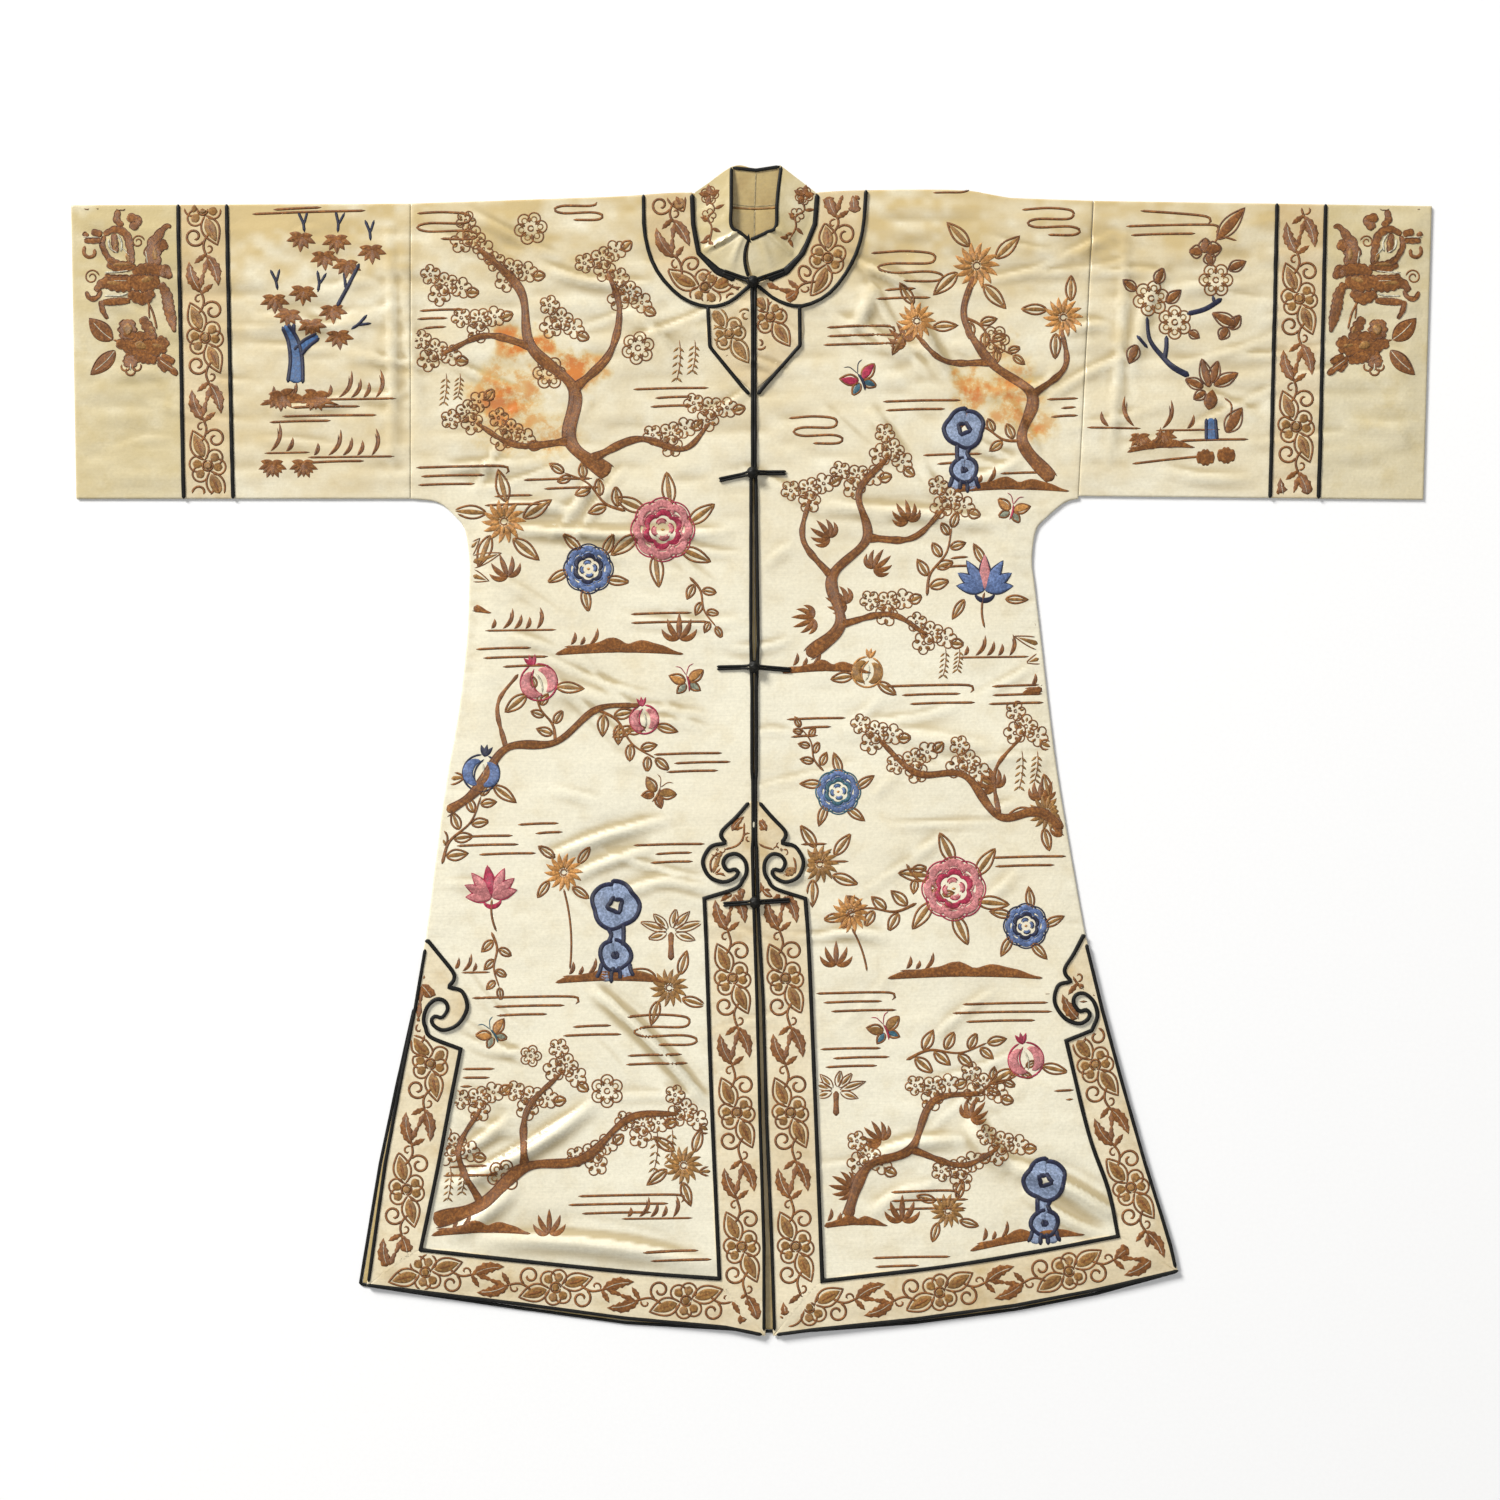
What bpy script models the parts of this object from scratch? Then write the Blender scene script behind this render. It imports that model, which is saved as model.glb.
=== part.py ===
"""Embroidered silk jacket with a stand collar, laid flat with its front up.

The back panels lie on the surface, the front panels lie on them with a few low folds, and the
applied strips, bindings and frogs lie on the fronts. X runs across the sleeves, Y towards the
collar and Z up. The origin is below the middle of the garment. Tables are in millimetres.
"""

import bmesh
import bpy
import numpy as np

MM = 0.001

# Thickness of each layer and the clearance between two pieces
CLOTH = 1.2
STRIP = 1.0
BINDING = 1.0
CLEAR = 0.3

# Underside of each layer
BACK_LEVEL = 0.0
FRONT_LEVEL = BACK_LEVEL + CLOTH + CLEAR
STRIP_LEVEL = FRONT_LEVEL + CLOTH + CLEAR
BINDING_LEVEL = STRIP_LEVEL + STRIP + CLEAR
FROG_LEVEL = BINDING_LEVEL + BINDING + CLEAR

# Widths of the bindings
LINE_WIDTH = 3.8
NECK_LINE_WIDTH = 4.6
OPENING_LINE_WIDTH = 3.2

# A fold fades out before it reaches an applied piece or the panel's own edge
CALM_MARGIN = 24.0
RIM_MARGIN = 6.0
FADE_LENGTH = 26.0

# Stand collar
COLLAR_LEVEL = STRIP_LEVEL - 0.2
COLLAR_FOLD_LEVEL = BACK_LEVEL + CLOTH + CLEAR
COLLAR_COLUMNS = 5

# Frog closures
FROG_WIDTH = 5.0
FROG_THICKNESS = 2.0
KNOT_RADIUS = 5.4
KNOT_HEIGHT = 7.5
FROG_SIDES = 8
FROG_PAD_BELOW = 12.0
FROG_PAD_ABOVE = 8.0

# Grids of the panels that carry folds
FRONT_COLUMNS = 20
SLEEVE_COLUMNS = 9
SLEEVE_ROWS = 8

SIDES = ("left", "right")
SIGN = {"left": -1.0, "right": 1.0}

SATIN = (0.86, 0.82, 0.62)
BAND_SILK = (0.74, 0.65, 0.40)
CUFF_SILK = (0.70, 0.63, 0.40)
LINING = (0.50, 0.42, 0.19)
BLACK = (0.012, 0.012, 0.010)


def table(columns, *rows):
    """A table whose first line names its columns, as a dictionary of arrays."""
    return dict(zip(columns.split(), np.array(rows, float).T))


# Reach of each side edge from the centre line, from the shoulder down to the hem corner
SIDE_EDGE = table(
    "height left right",
    (541.0, 330.5, 331.7),
    (244.0, 330.5, 317.0),
    (240.4, 303.8, 303.9),
    (226.0, 286.5, 286.5),
    (213.5, 277.7, 276.0),
    (184.8, 273.6, 272.1),
    (160.0, 273.6, 274.7),
    (105.6, 275.9, 281.1),
    (35.0, 284.3, 289.2),
    (-40.0, 297.3, 299.5),
    (-180.0, 315.7, 324.1),
    (-250.0, 327.5, 341.1),
    (-320.0, 341.5, 360.1),
    (-400.0, 356.5, 382.8),
    (-450.0, 363.6, 398.6),
    (-480.0, 367.8, 407.6),
    (-519.4, 373.3, 413.5),
)

# Edges of the centre opening: x of the left and of the right front panel
OPENING = table(
    "height left right",
    (453.0, 1.2, 2.2),
    (300.0, 1.2, 2.2),
    (107.0, 0.9, 4.9),
    (60.0, 2.0, 3.2),
    (-87.0, 2.0, 3.2),
    (-160.0, 4.0, 5.2),
    (-242.0, 6.8, 9.8),
    (-358.0, 9.8, 13.1),
    (-480.0, 13.6, 18.1),
    (-567.6, 13.7, 20.8),
)

# Height of the front hem, from the side corner (share 0) to the opening (share 1)
HEM = table(
    "share left right",
    (0.0, -519.4, -505.7),
    (0.2, -529.0, -524.0),
    (0.4, -538.5, -539.0),
    (0.65, -551.6, -552.5),
    (0.9, -560.5, -562.8),
    (1.0, -567.6, -567.6),
)

# Height of the shoulder fold, from the sleeve seam (share 0) to the neck (share 1)
SHOULDER = table(
    "share left right",
    (0.0, 530.3, 533.0),
    (0.3, 533.0, 535.8),
    (0.45, 534.5, 543.0),
    (0.7, 536.8, 544.0),
    (1.0, 541.0, 541.0),
)

# How far the back panel shows past the front one, along the slit and along the hem
BACK_SLIT_SHOW = table("height left right", (-190.0, 0.0, 0.0), (-519.4, 8.0, 0.4))
BACK_HEM_SHOW = table(
    "share left right",
    (0.0, -0.4, 1.6),
    (0.2, 3.0, 4.2),
    (0.5, 5.6, 4.8),
    (0.85, 4.0, 3.0),
    (1.0, -2.5, -2.5),
)

# Rows of the front panels: height at the side edge and height at the opening
FRONT_SECTIONS = table(
    "side opening",
    (-519.4, -567.6),
    (-480.0, -525.0),
    (-450.0, -485.0),
    (-420.0, -445.0),
    (-385.0, -405.0),
    (-350.0, -365.0),
    (-315.0, -325.0),
    (-280.0, -285.0),
    (-245.0, -248.0),
    (-212.0, -214.0),
    (-180.0, -180.0),
    (-140.0, -140.0),
    (-95.0, -95.0),
    (-40.0, -40.0),
    (35.0, 30.0),
    (105.6, 95.0),
    (160.0, 140.0),
    (184.8, 170.0),
    (213.5, 200.0),
    (226.0, 220.0),
    (240.4, 240.0),
    (244.0, 262.0),
    (285.0, 300.0),
    (325.0, 340.0),
    (365.0, 385.0),
    (405.0, 425.0),
    (435.0, 453.0),
    (445.0, 455.5),
    (460.0, 464.5),
    (480.0, 482.0),
    (505.0, 510.0),
    (530.3, 541.0),
)

# Heights of the opening's bound edge, which is lifted where a tab or a border strip lies under it
OPENING_BINDING = table(
    "height lifted",
    (443.0, 1),
    (400.0, 1),
    (345.5, 1),
    (337.0, 0),
    (268.0, 0),
    (107.0, 0),
    (60.0, 0),
    (-40.0, 0),
    (-47.0, 1),
    (-87.0, 1),
    (-160.0, 1),
    (-242.0, 1),
    (-358.0, 1),
    (-480.0, 1),
    (-562.0, 1),
)

# Neck seam: x on each side at each height
NECK = table(
    "height left right",
    (453.0, 1.2, 2.2),
    (455.5, -11.7, 12.0),
    (464.5, -33.0, 33.5),
    (482.0, -51.3, 50.0),
    (510.0, -56.5, 61.5),
    (541.0, -57.6, 63.9),
)

# Stations of the sleeves: reach at the top fold and at the lower seam
SLEEVE_STATIONS = {
    "seam": table("left right", (330.5, 331.7), (330.5, 317.0)),
    "inner_line": table("left right", (508.7, 509.4), (502.5, 502.6)),
    "outer_line": table("left right", (555.7, 556.5), (550.3, 549.6)),
    "mouth": table("left right", (659.7, 659.7), (654.7, 651.5)),
}
SLEEVE_TOP = table("reach left right", (330.5, 530.3, 533.0), (659.7, 528.7, 527.9))
SLEEVE_LOWER = table("reach left right", (317.0, 244.0, 246.6), (659.7, 244.0, 243.0))

# Outer line of the neck band, from the shoulder to the opening
NECK_BAND = {
    "left": (
        (-104.7, 538.6),
        (-103.0, 498.0),
        (-91.8, 465.0),
        (-68.2, 439.4),
        (-42.0, 430.0),
        (-21.0, 434.7),
        (-4.5, 448.5),
    ),
    "right": (
        (111.0, 543.0),
        (107.5, 503.0),
        (97.0, 472.0),
        (76.0, 443.5),
        (49.0, 430.5),
        (26.0, 435.5),
        (8.0, 448.5),
    ),
}

# Corners of the chest tabs: under the neck band, at the side and at the point
CHEST_TAB = {
    "left": ((-42.1, 430.0), (-40.4, 391.2), (-4.0, 346.5)),
    "right": ((46.6, 430.0), (47.0, 392.4), (7.5, 347.5)),
}

# Half of a cloud head: distance from the opening's edge and distance below the apex.
# It runs from the apex over the shoulder, round the lobe and the eye to the strip's corner.
CLOUD_HEAD = (
    (3.0, 2.0),
    (16.5, 18.2),
    (28.0, 30.0),
    (29.5, 36.5),
    (26.5, 42.5),
    (39.0, 46.0),
    (47.0, 60.5),
    (41.5, 75.0),
    (29.0, 80.5),
    (18.8, 77.0),
    (14.6, 71.6),
    (17.4, 68.0),
    (24.2, 69.0),
    (28.0, 62.0),
    (24.0, 55.0),
    (15.0, 53.6),
    (7.8, 61.0),
    (7.8, 73.5),
    (17.5, 86.5),
    (45.9, 96.3),
)
CLOUD_SMOOTH = 3

# Where each cloud head's apex lies, how far it stands off the edge and its size beside the table's
FRONT_HEAD = {
    "apex": {"left": -47.0, "right": -47.0},
    "shift": {"left": 0.5, "right": 2.0},
    "width": {"left": 1.05, "right": 0.95},
    "height": {"left": 1.0, "right": 1.0},
}
SIDE_HEAD = {
    "apex": {"left": -182.5, "right": -177.7},
    "shift": {"left": 5.0, "right": 0.5},
    "width": {"left": 1.0, "right": 0.97},
    "height": {"left": 1.1, "right": 1.08},
}

# Inner line of the borders below the heads: x down the front, height along the hem, x up the side
BORDER_FRONT = {
    "left": ((-45.9, -143.3), (-43.6, -197.3), (-38.9, -338.3), (-31.2, -511.5)),
    "right": ((52.3, -143.3), (55.9, -197.3), (61.7, -336.1), (68.8, -514.0)),
}
BORDER_HEM = {
    "left": ((-31.2, -511.5), (-117.0, -505.0), (-211.0, -495.5), (-320.4, -483.5)),
    "right": ((68.8, -514.0), (185.2, -500.0), (280.0, -484.6), (355.0, -470.3)),
}
BORDER_SIDE = {
    "left": ((-320.4, -483.5), (-305.2, -411.3), (-292.2, -343.1), (-281.6, -289.1)),
    "right": ((355.0, -470.3), (345.5, -425.3), (326.4, -370.9), (304.7, -281.1)),
}

# Stand collar, from the fold at the side to the front edge: foot, top edge and rise of the top
COLLAR_SECTIONS = {
    "left": table(
        "foot_x foot_y top_x top_y rise",
        (-54.6, 541.0, -18.3, 566.3, 0.0),
        (-56.4, 524.0, -18.3, 548.0, 3.0),
        (-55.2, 505.0, -18.3, 529.0, 5.0),
        (-49.6, 483.5, -18.3, 508.8, 6.0),
        (-40.5, 471.5, -9.5, 502.0, 6.0),
        (-22.0, 461.5, -4.0, 497.6, 5.5),
        (-0.2, 455.4, -1.6, 495.8, 4.5),
    ),
    "right": table(
        "foot_x foot_y top_x top_y rise",
        (62.0, 541.0, 27.7, 567.3, 0.0),
        (61.4, 524.0, 25.0, 548.0, 3.0),
        (59.0, 507.0, 23.2, 529.0, 5.0),
        (47.4, 485.0, 22.3, 508.0, 6.0),
        (39.5, 472.5, 13.6, 502.6, 6.0),
        (24.0, 462.8, 5.0, 498.6, 5.5),
        (3.2, 455.6, -0.4, 496.2, 4.5),
    ),
}
COLLAR_FRONT_BOW = 4.5
COLLAR_BACK_OUTLINE = (
    (-54.0, 541.0),
    (-30.0, 528.6),
    (3.0, 525.3),
    (36.0, 528.6),
    (62.0, 541.0),
    (27.7, 567.6),
    (4.7, 564.4),
    (-18.3, 566.6),
)
BACK_NECK = {
    "left": ((3.0, 525.0), (-30.0, 528.2), (-57.6, 541.0)),
    "right": ((63.9, 541.0), (36.0, 528.2), (3.0, 525.0)),
}
BACK_SEAM_X = 3.0

# Largest folds: where each runs, how high it stands and how far it spreads sideways
FOLDS = table(
    "start_x start_y end_x end_y height spread",
    (-162.0, -225.0, -62.0, -325.0, 6.0, 13.0),
    (-288.0, -410.0, -170.0, -340.0, 5.0, 14.0),
    (-260.0, -445.0, -90.0, -462.0, 4.5, 16.0),
    (-215.0, -85.0, -70.0, -140.0, 4.0, 14.0),
    (-250.0, 222.0, -55.0, 215.0, 4.0, 14.0),
    (-190.0, 60.0, -90.0, 20.0, 3.0, 16.0),
    (210.0, -355.0, 256.0, -407.0, 6.0, 15.0),
    (256.0, -407.0, 330.0, -440.0, 5.0, 15.0),
    (105.0, -395.0, 205.0, -380.0, 4.5, 14.0),
    (150.0, 420.0, 205.0, 330.0, 4.5, 15.0),
    (70.0, 210.0, 245.0, 222.0, 3.5, 14.0),
    (90.0, -30.0, 250.0, -75.0, 3.5, 16.0),
    (-365.0, 505.0, -358.0, 275.0, 3.5, 14.0),
    (-480.0, 395.0, -395.0, 345.0, 3.0, 15.0),
    (372.0, 500.0, 360.0, 280.0, 3.5, 14.0),
    (400.0, 330.0, 480.0, 400.0, 3.0, 15.0),
)

# Frogs: height of the knot, x and drop of each strap's end, and the levels of ends and knot
FROGS = table(
    "height left_x knot_x right_x left_drop right_drop end_level knot_level",
    (454.0, -28.5, 1.5, 34.0, -13.0, -14.0, FROG_LEVEL, FROG_LEVEL),
    (269.0, -31.5, 1.0, 33.5, 7.0, 0.0, STRIP_LEVEL, BINDING_LEVEL),
    (81.0, -33.5, 2.5, 38.3, 1.0, 3.0, STRIP_LEVEL, BINDING_LEVEL),
    (-147.0, -27.6, 3.4, 37.3, 2.0, -2.0, BINDING_LEVEL, FROG_LEVEL),
)


def clear_scene():
    """Removes every object that the file holds."""
    for item in list(bpy.data.objects):
        bpy.data.objects.remove(item, do_unlink=True)


def finish(name, color, roughness):
    """A Principled material of one colour."""
    material = bpy.data.materials.new(name)
    material.use_nodes = True
    shader = material.node_tree.nodes["Principled BSDF"]
    shader.inputs["Base Color"].default_value = (*color, 1.0)
    shader.inputs["Roughness"].default_value = roughness
    material.diffuse_color = (*color, 1.0)
    return material


def add_body(name, points, faces, color, roughness):
    """One closed mesh object from points in millimetres, with its faces turned outwards."""
    mesh = bpy.data.meshes.new(name)
    mesh.from_pydata((np.asarray(points, float) * MM).tolist(), [], faces)
    work = bmesh.new()
    work.from_mesh(mesh)
    wide = [face for face in work.faces if len(face.verts) > 4]
    bmesh.ops.triangulate(work, faces=wide, ngon_method="EAR_CLIP")
    bmesh.ops.triangulate(work, faces=work.faces[:], quad_method="SHORT_EDGE")
    bmesh.ops.recalc_face_normals(work, faces=work.faces[:])
    work.to_mesh(mesh)
    work.free()
    mesh.materials.append(finish(name + "_finish", color, roughness))
    body = bpy.data.objects.new(name, mesh)
    bpy.context.scene.collection.objects.link(body)
    return body


def smooth_curve(points, per_span):
    """Catmull-Rom curve through the points, per_span steps to each span."""
    knots = np.asarray(points, float)
    padded = np.vstack([2 * knots[0] - knots[1], knots, 2 * knots[-1] - knots[-2]])
    share = np.arange(per_span)[:, None] / per_span
    spans = []
    for start in range(len(knots) - 1):
        a, b, c, d = padded[start : start + 4]
        bend = 2 * a - 5 * b + 4 * c - d
        twist = 3 * b - a - 3 * c + d
        spans.append(0.5 * (2 * b + (c - a) * share + bend * share**2 + twist * share**3))
    return np.vstack([*spans, knots[-1:]])


def plan_normals(points, closed):
    """Mitred normals of a plan curve, to the right of its direction, and longer at a corner."""
    ahead = np.roll(points, -1, axis=0) - points
    if not closed:
        ahead[-1] = ahead[-2]
    ahead /= np.linalg.norm(ahead, axis=1, keepdims=True)
    behind = np.roll(ahead, 1, axis=0)
    if not closed:
        behind[0] = ahead[0]
    right_ahead = np.stack([ahead[:, 1], -ahead[:, 0]], axis=1)
    right_behind = np.stack([behind[:, 1], -behind[:, 0]], axis=1)
    middle = right_ahead + right_behind
    middle /= np.maximum(np.linalg.norm(middle, axis=1, keepdims=True), 1e-6)
    stretch = np.maximum((middle * right_ahead).sum(axis=1, keepdims=True), 0.3)
    return middle / stretch


def turn(points):
    """Twice the signed area of a closed outline: positive when it runs anticlockwise."""
    after = np.roll(points, -1, axis=0)
    return float((points[:, 0] * after[:, 1] - points[:, 1] * after[:, 0]).sum())


def inset(outline, distance):
    """The closed outline moved inwards by the distance, point by point."""
    outline = np.asarray(outline, float)
    side = 1.0 if turn(outline) < 0 else -1.0
    return outline + side * distance * plan_normals(outline, True)


def slab(name, outline, level, thickness, color, roughness=0.5):
    """A flat piece of cloth with this outline, half a clearance inside it."""
    flat = inset(outline, CLEAR / 2)
    count = len(flat)
    lower = np.column_stack([flat, np.full(count, level)])
    upper = lower + (0.0, 0.0, thickness)
    faces = [list(range(count))[::-1], list(range(count, 2 * count))]
    faces += [[k, (k + 1) % count, (k + 1) % count + count, k + count] for k in range(count)]
    return add_body(name, np.vstack([lower, upper]), faces, color, roughness)


def wall(name, under, over, color, roughness=0.5):
    """A wall of cloth between two grids of points, closed round its four rims."""
    rows, columns = under.shape[:2]
    size = rows * columns
    faces = []
    for r in range(rows - 1):
        for c in range(columns - 1):
            k = r * columns + c
            quad = [k, k + 1, k + columns + 1, k + columns]
            faces.append([size + q for q in quad])
            faces.append(quad[::-1])
    grid = np.arange(size).reshape(rows, columns)
    rim = np.concatenate([grid[0], grid[1:, -1], grid[-1, -2::-1], grid[-2:0:-1, 0]]).tolist()
    for here, there in zip(rim, rim[1:] + rim[:1]):
        faces.append([here, there, there + size, here + size])
    points = np.vstack([under.reshape(-1, 3), over.reshape(-1, 3)])
    return add_body(name, points, faces, color, roughness)


def loft(name, rings, color, roughness=0.5):
    """A closed body through rings of points, with its two ends filled."""
    rings = np.asarray(rings, float)
    count, around = rings.shape[:2]
    faces = [list(range(around))[::-1], [(count - 1) * around + k for k in range(around)]]
    for r in range(count - 1):
        for k in range(around):
            a = r * around + k
            b = r * around + (k + 1) % around
            faces.append([a, b, b + around, a + around])
    return add_body(name, rings.reshape(-1, 3), faces, color, roughness)


def binding(name, path, width, level=BINDING_LEVEL, rise=0.0):
    """A bound edge: a flat strip swept along a path in plan. The rise lifts each point of it."""
    path = np.asarray(path, float)
    across = plan_normals(path, False) * width / 2
    low = np.broadcast_to(level + np.asarray(rise, float), len(path))
    left, right = path - across, path + across
    rings = [
        [(*le, z), (*ri, z), (*ri, z + BINDING), (*le, z + BINDING)]
        for le, ri, z in zip(left, right, low)
    ]
    return loft(name, rings, BLACK, 0.6)


def coons(bottom, top, left, right):
    """Coons patch: each point blends the four edges it lies between."""
    bottom, top, left, right = (np.asarray(edge, float) for edge in (bottom, top, left, right))
    across = np.linspace(0, 1, len(bottom))[None, :, None]
    up = ((left[:, 1] - left[0, 1]) / (left[-1, 1] - left[0, 1]))[:, None, None]
    ruled = (1 - across) * left[:, None] + across * right[:, None]
    ruled = ruled + (1 - up) * bottom[None] + up * top[None]
    corners = (1 - across) * (1 - up) * bottom[0] + across * (1 - up) * bottom[-1]
    return ruled - corners - (1 - across) * up * top[0] - across * up * top[-1]


def side_x(side, height):
    """x of the side edge at a height."""
    return SIGN[side] * np.interp(height, SIDE_EDGE["height"][::-1], SIDE_EDGE[side][::-1])


def opening_x(side, height):
    """x of the centre opening's edge at a height."""
    return np.interp(height, OPENING["height"][::-1], OPENING[side][::-1])


def neck_x(side, height):
    """x of the neck seam at a height above the opening."""
    return np.interp(height, NECK["height"], NECK[side])


def hem_curve(side, shares):
    """Points of the front hem, from the side corner at share 0 to the opening at share 1."""
    corner_height = HEM[side][0]
    start = side_x(side, corner_height) if side == "left" else SIDE_EDGE[side][-1]
    end = opening_x(side, HEM[side][-1])
    height = np.interp(shares, HEM["share"], HEM[side])
    return np.column_stack([start + (end - start) * shares, height])


def shoulder_curve(side, shares):
    """Points of the shoulder fold, from the sleeve seam at share 0 to the neck at share 1."""
    start = side_x(side, SHOULDER[side][0])
    end = NECK[side][-1]
    height = np.interp(shares, SHOULDER["share"], SHOULDER[side])
    return np.column_stack([start + (end - start) * shares, height])


def front_edges(side):
    """The front panel's hem, shoulder, side edge and inner edge, row by row."""
    shares = np.linspace(0, 1, FRONT_COLUMNS)
    bottom = hem_curve(side, shares)
    top = shoulder_curve(side, shares)
    outer_height = FRONT_SECTIONS["side"].copy()
    outer_height[0] = bottom[0, 1]
    outer_height[-1] = top[0, 1]
    outer = np.column_stack([side_x(side, outer_height), outer_height])
    outer[0] = bottom[0]
    outer[-1] = top[0]
    height = FRONT_SECTIONS["opening"]
    inner_x = np.where(height > NECK["height"][0], neck_x(side, height), opening_x(side, height))
    return bottom, top, outer, np.column_stack([inner_x, height])


def outline_of(bottom, top, outer, inner):
    """The closed outline that four edges make, starting at the hem's side corner."""
    return np.vstack([bottom, inner[1:], top[-2::-1], outer[-2:0:-1]])


def shrink_edges(bottom, top, outer, inner):
    """The four edges half a clearance inside their own outline."""
    outline = inset(outline_of(bottom, top, outer, inner), CLEAR / 2)
    a = len(bottom)
    b = a + len(inner) - 1
    c = b + len(top) - 1
    small_bottom = outline[:a]
    small_inner = outline[a - 1 : b]
    small_top = outline[b - 1 : c][::-1]
    small_outer = np.vstack([outline[c - 1 :], outline[:1]])[::-1]
    return small_bottom, small_top, small_outer, small_inner


def segment_distance(points, starts, ends):
    """Distance of each point to each segment, and how far along the segment its foot lies."""
    run = ends - starts
    offset = points[:, None] - starts[None]
    along = (offset * run[None]).sum(-1) / (run**2).sum(-1)[None]
    foot = starts[None] + np.clip(along, 0, 1)[..., None] * run[None]
    return np.linalg.norm(points[:, None] - foot, axis=-1), along


def inside(points, outline):
    """Whether each point lies inside a closed outline, by the even-odd rule."""
    x, y = points[:, None, 0], points[:, None, 1]
    start, end = outline[None], np.roll(outline, -1, axis=0)[None]
    spans = (start[..., 1] > y) != (end[..., 1] > y)
    slope = (end[..., 0] - start[..., 0]) / np.where(spans, end[..., 1] - start[..., 1], 1.0)
    crossing = x < start[..., 0] + (y - start[..., 1]) * slope
    return (spans & crossing).sum(axis=1) % 2 == 1


def fade_from(points, outline, margin):
    """0 within the margin of an outline, rising softly to 1 over the fade length."""
    ends = np.roll(outline, -1, axis=0)
    distance = segment_distance(points, outline, ends)[0].min(axis=1)
    share = np.clip((distance - margin) / FADE_LENGTH, 0, 1)
    return share * share * (3 - 2 * share)


def relief(points, panel_outline, applied):
    """Height of the folds over the flat cloth: soft ridges, calm near edges and applied pieces."""
    starts = np.column_stack([FOLDS["start_x"], FOLDS["start_y"]])
    ends = np.column_stack([FOLDS["end_x"], FOLDS["end_y"]])
    distance, along = segment_distance(points, starts, ends)
    taper = np.sqrt(np.clip(np.sin(np.pi * np.clip(along * 0.9 + 0.05, 0, 1)), 0, 1))
    ridge = FOLDS["height"] * taper * np.exp(-((distance / FOLDS["spread"]) ** 2))
    height = ridge.max(axis=1) * fade_from(points, panel_outline, RIM_MARGIN)
    for outline in applied:
        outline = np.asarray(outline, float)
        height = height * fade_from(points, outline, CALM_MARGIN) * ~inside(points, outline)
    return np.where(height < 0.05, 0.0, height)


def folded_panel(name, edges, applied, level, color):
    """A panel between four edges that carries the folds, a wall of even thickness."""
    outline = outline_of(*edges)
    plan = coons(*shrink_edges(*edges))
    rows, columns = plan.shape[:2]
    lift = relief(plan.reshape(-1, 2), outline, applied).reshape(rows, columns, 1)
    under = np.concatenate([plan, level + lift], axis=2)
    return wall(name, under, under + (0.0, 0.0, CLOTH), color)


def cloud_head(side, edge_x, head, inward):
    """Half a cloud head beside an edge: the table's outline, smoothed and turned to its side."""
    curve = smooth_curve(CLOUD_HEAD[:-1], CLOUD_SMOOTH)
    height = head["apex"][side] - curve[:, 1] * head["height"][side]
    away = head["shift"][side] * np.clip(curve[:, 1] / 20.0, 0, 1) + curve[:, 0] * head["width"][side]
    return np.column_stack([edge_x(side, height) + inward * away, height])


def border_outlines(side):
    """Outlines of the front, hem and side strips, and the inner line that their binding follows."""
    sign = SIGN[side]
    front_head = cloud_head(side, opening_x, FRONT_HEAD, sign)
    side_head = cloud_head(side, side_x, SIDE_HEAD, -sign)
    front_line, hem_line, side_line = (
        np.array(line[side], float) for line in (BORDER_FRONT, BORDER_HEM, BORDER_SIDE)
    )
    opening_heights = np.array([-47.0, -87.0, -160.0, -242.0, -358.0, -480.0, -567.0])
    opening_heights[0] = FRONT_HEAD["apex"][side] - 2.0
    opening_edge = np.column_stack([opening_x(side, opening_heights), opening_heights])
    slit_heights = np.array([SIDE_HEAD["apex"][side] - 2.0, -250.0, -320.0, -400.0, -450.0, -480.0])
    slit_edge = np.column_stack([side_x(side, slit_heights), slit_heights])
    hem_edge = hem_curve(side, HEM["share"])
    front = np.vstack([opening_edge[:-1], hem_edge[-1:], front_line[::-1], front_head[::-1]])
    hem = np.vstack([hem_edge, hem_line])
    slit = np.vstack([slit_edge, hem_edge[:1], side_line, side_head[::-1]])
    inner = np.vstack([front_head, front_line, hem_line[1:], side_line[1:], side_head[::-1]])
    return {"front": front, "hem": hem, "side": slit, "inner": inner}


def neck_band_outline(side):
    """The neck band lies between the neck seam and its own outer line."""
    outer = smooth_curve(NECK_BAND[side], 3)
    heights = np.array([541.0, 525.0, 510.0, 495.0, 482.0, 473.0, 464.5, 459.0, 455.5])
    seam = np.column_stack([neck_x(side, heights), heights])
    seam[0, 1] = NECK["height"][-1]
    return np.vstack([outer, seam[::-1]])


def chest_tab_outline(side):
    """A pointed tab under the neck band, against the opening's edge."""
    under_band = smooth_curve(NECK_BAND[side], 3)[12:]
    corner, hip, point = (np.array(p, float) for p in CHEST_TAB[side])
    opening_heights = np.array([point[1], 400.0, under_band[-1, 1]])
    edge = np.column_stack([opening_x(side, opening_heights), opening_heights])
    return np.vstack([under_band[:-1], edge[::-1], hip])


def frog_pads():
    """Boxes round the frogs, where the fronts stay flat."""
    pads = []
    for left, right, height in zip(FROGS["left_x"], FROGS["right_x"], FROGS["height"]):
        low = height - FROG_PAD_BELOW
        high = height + FROG_PAD_ABOVE
        pads.append(((left, low), (right, low), (right, high), (left, high)))
    return pads


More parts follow.
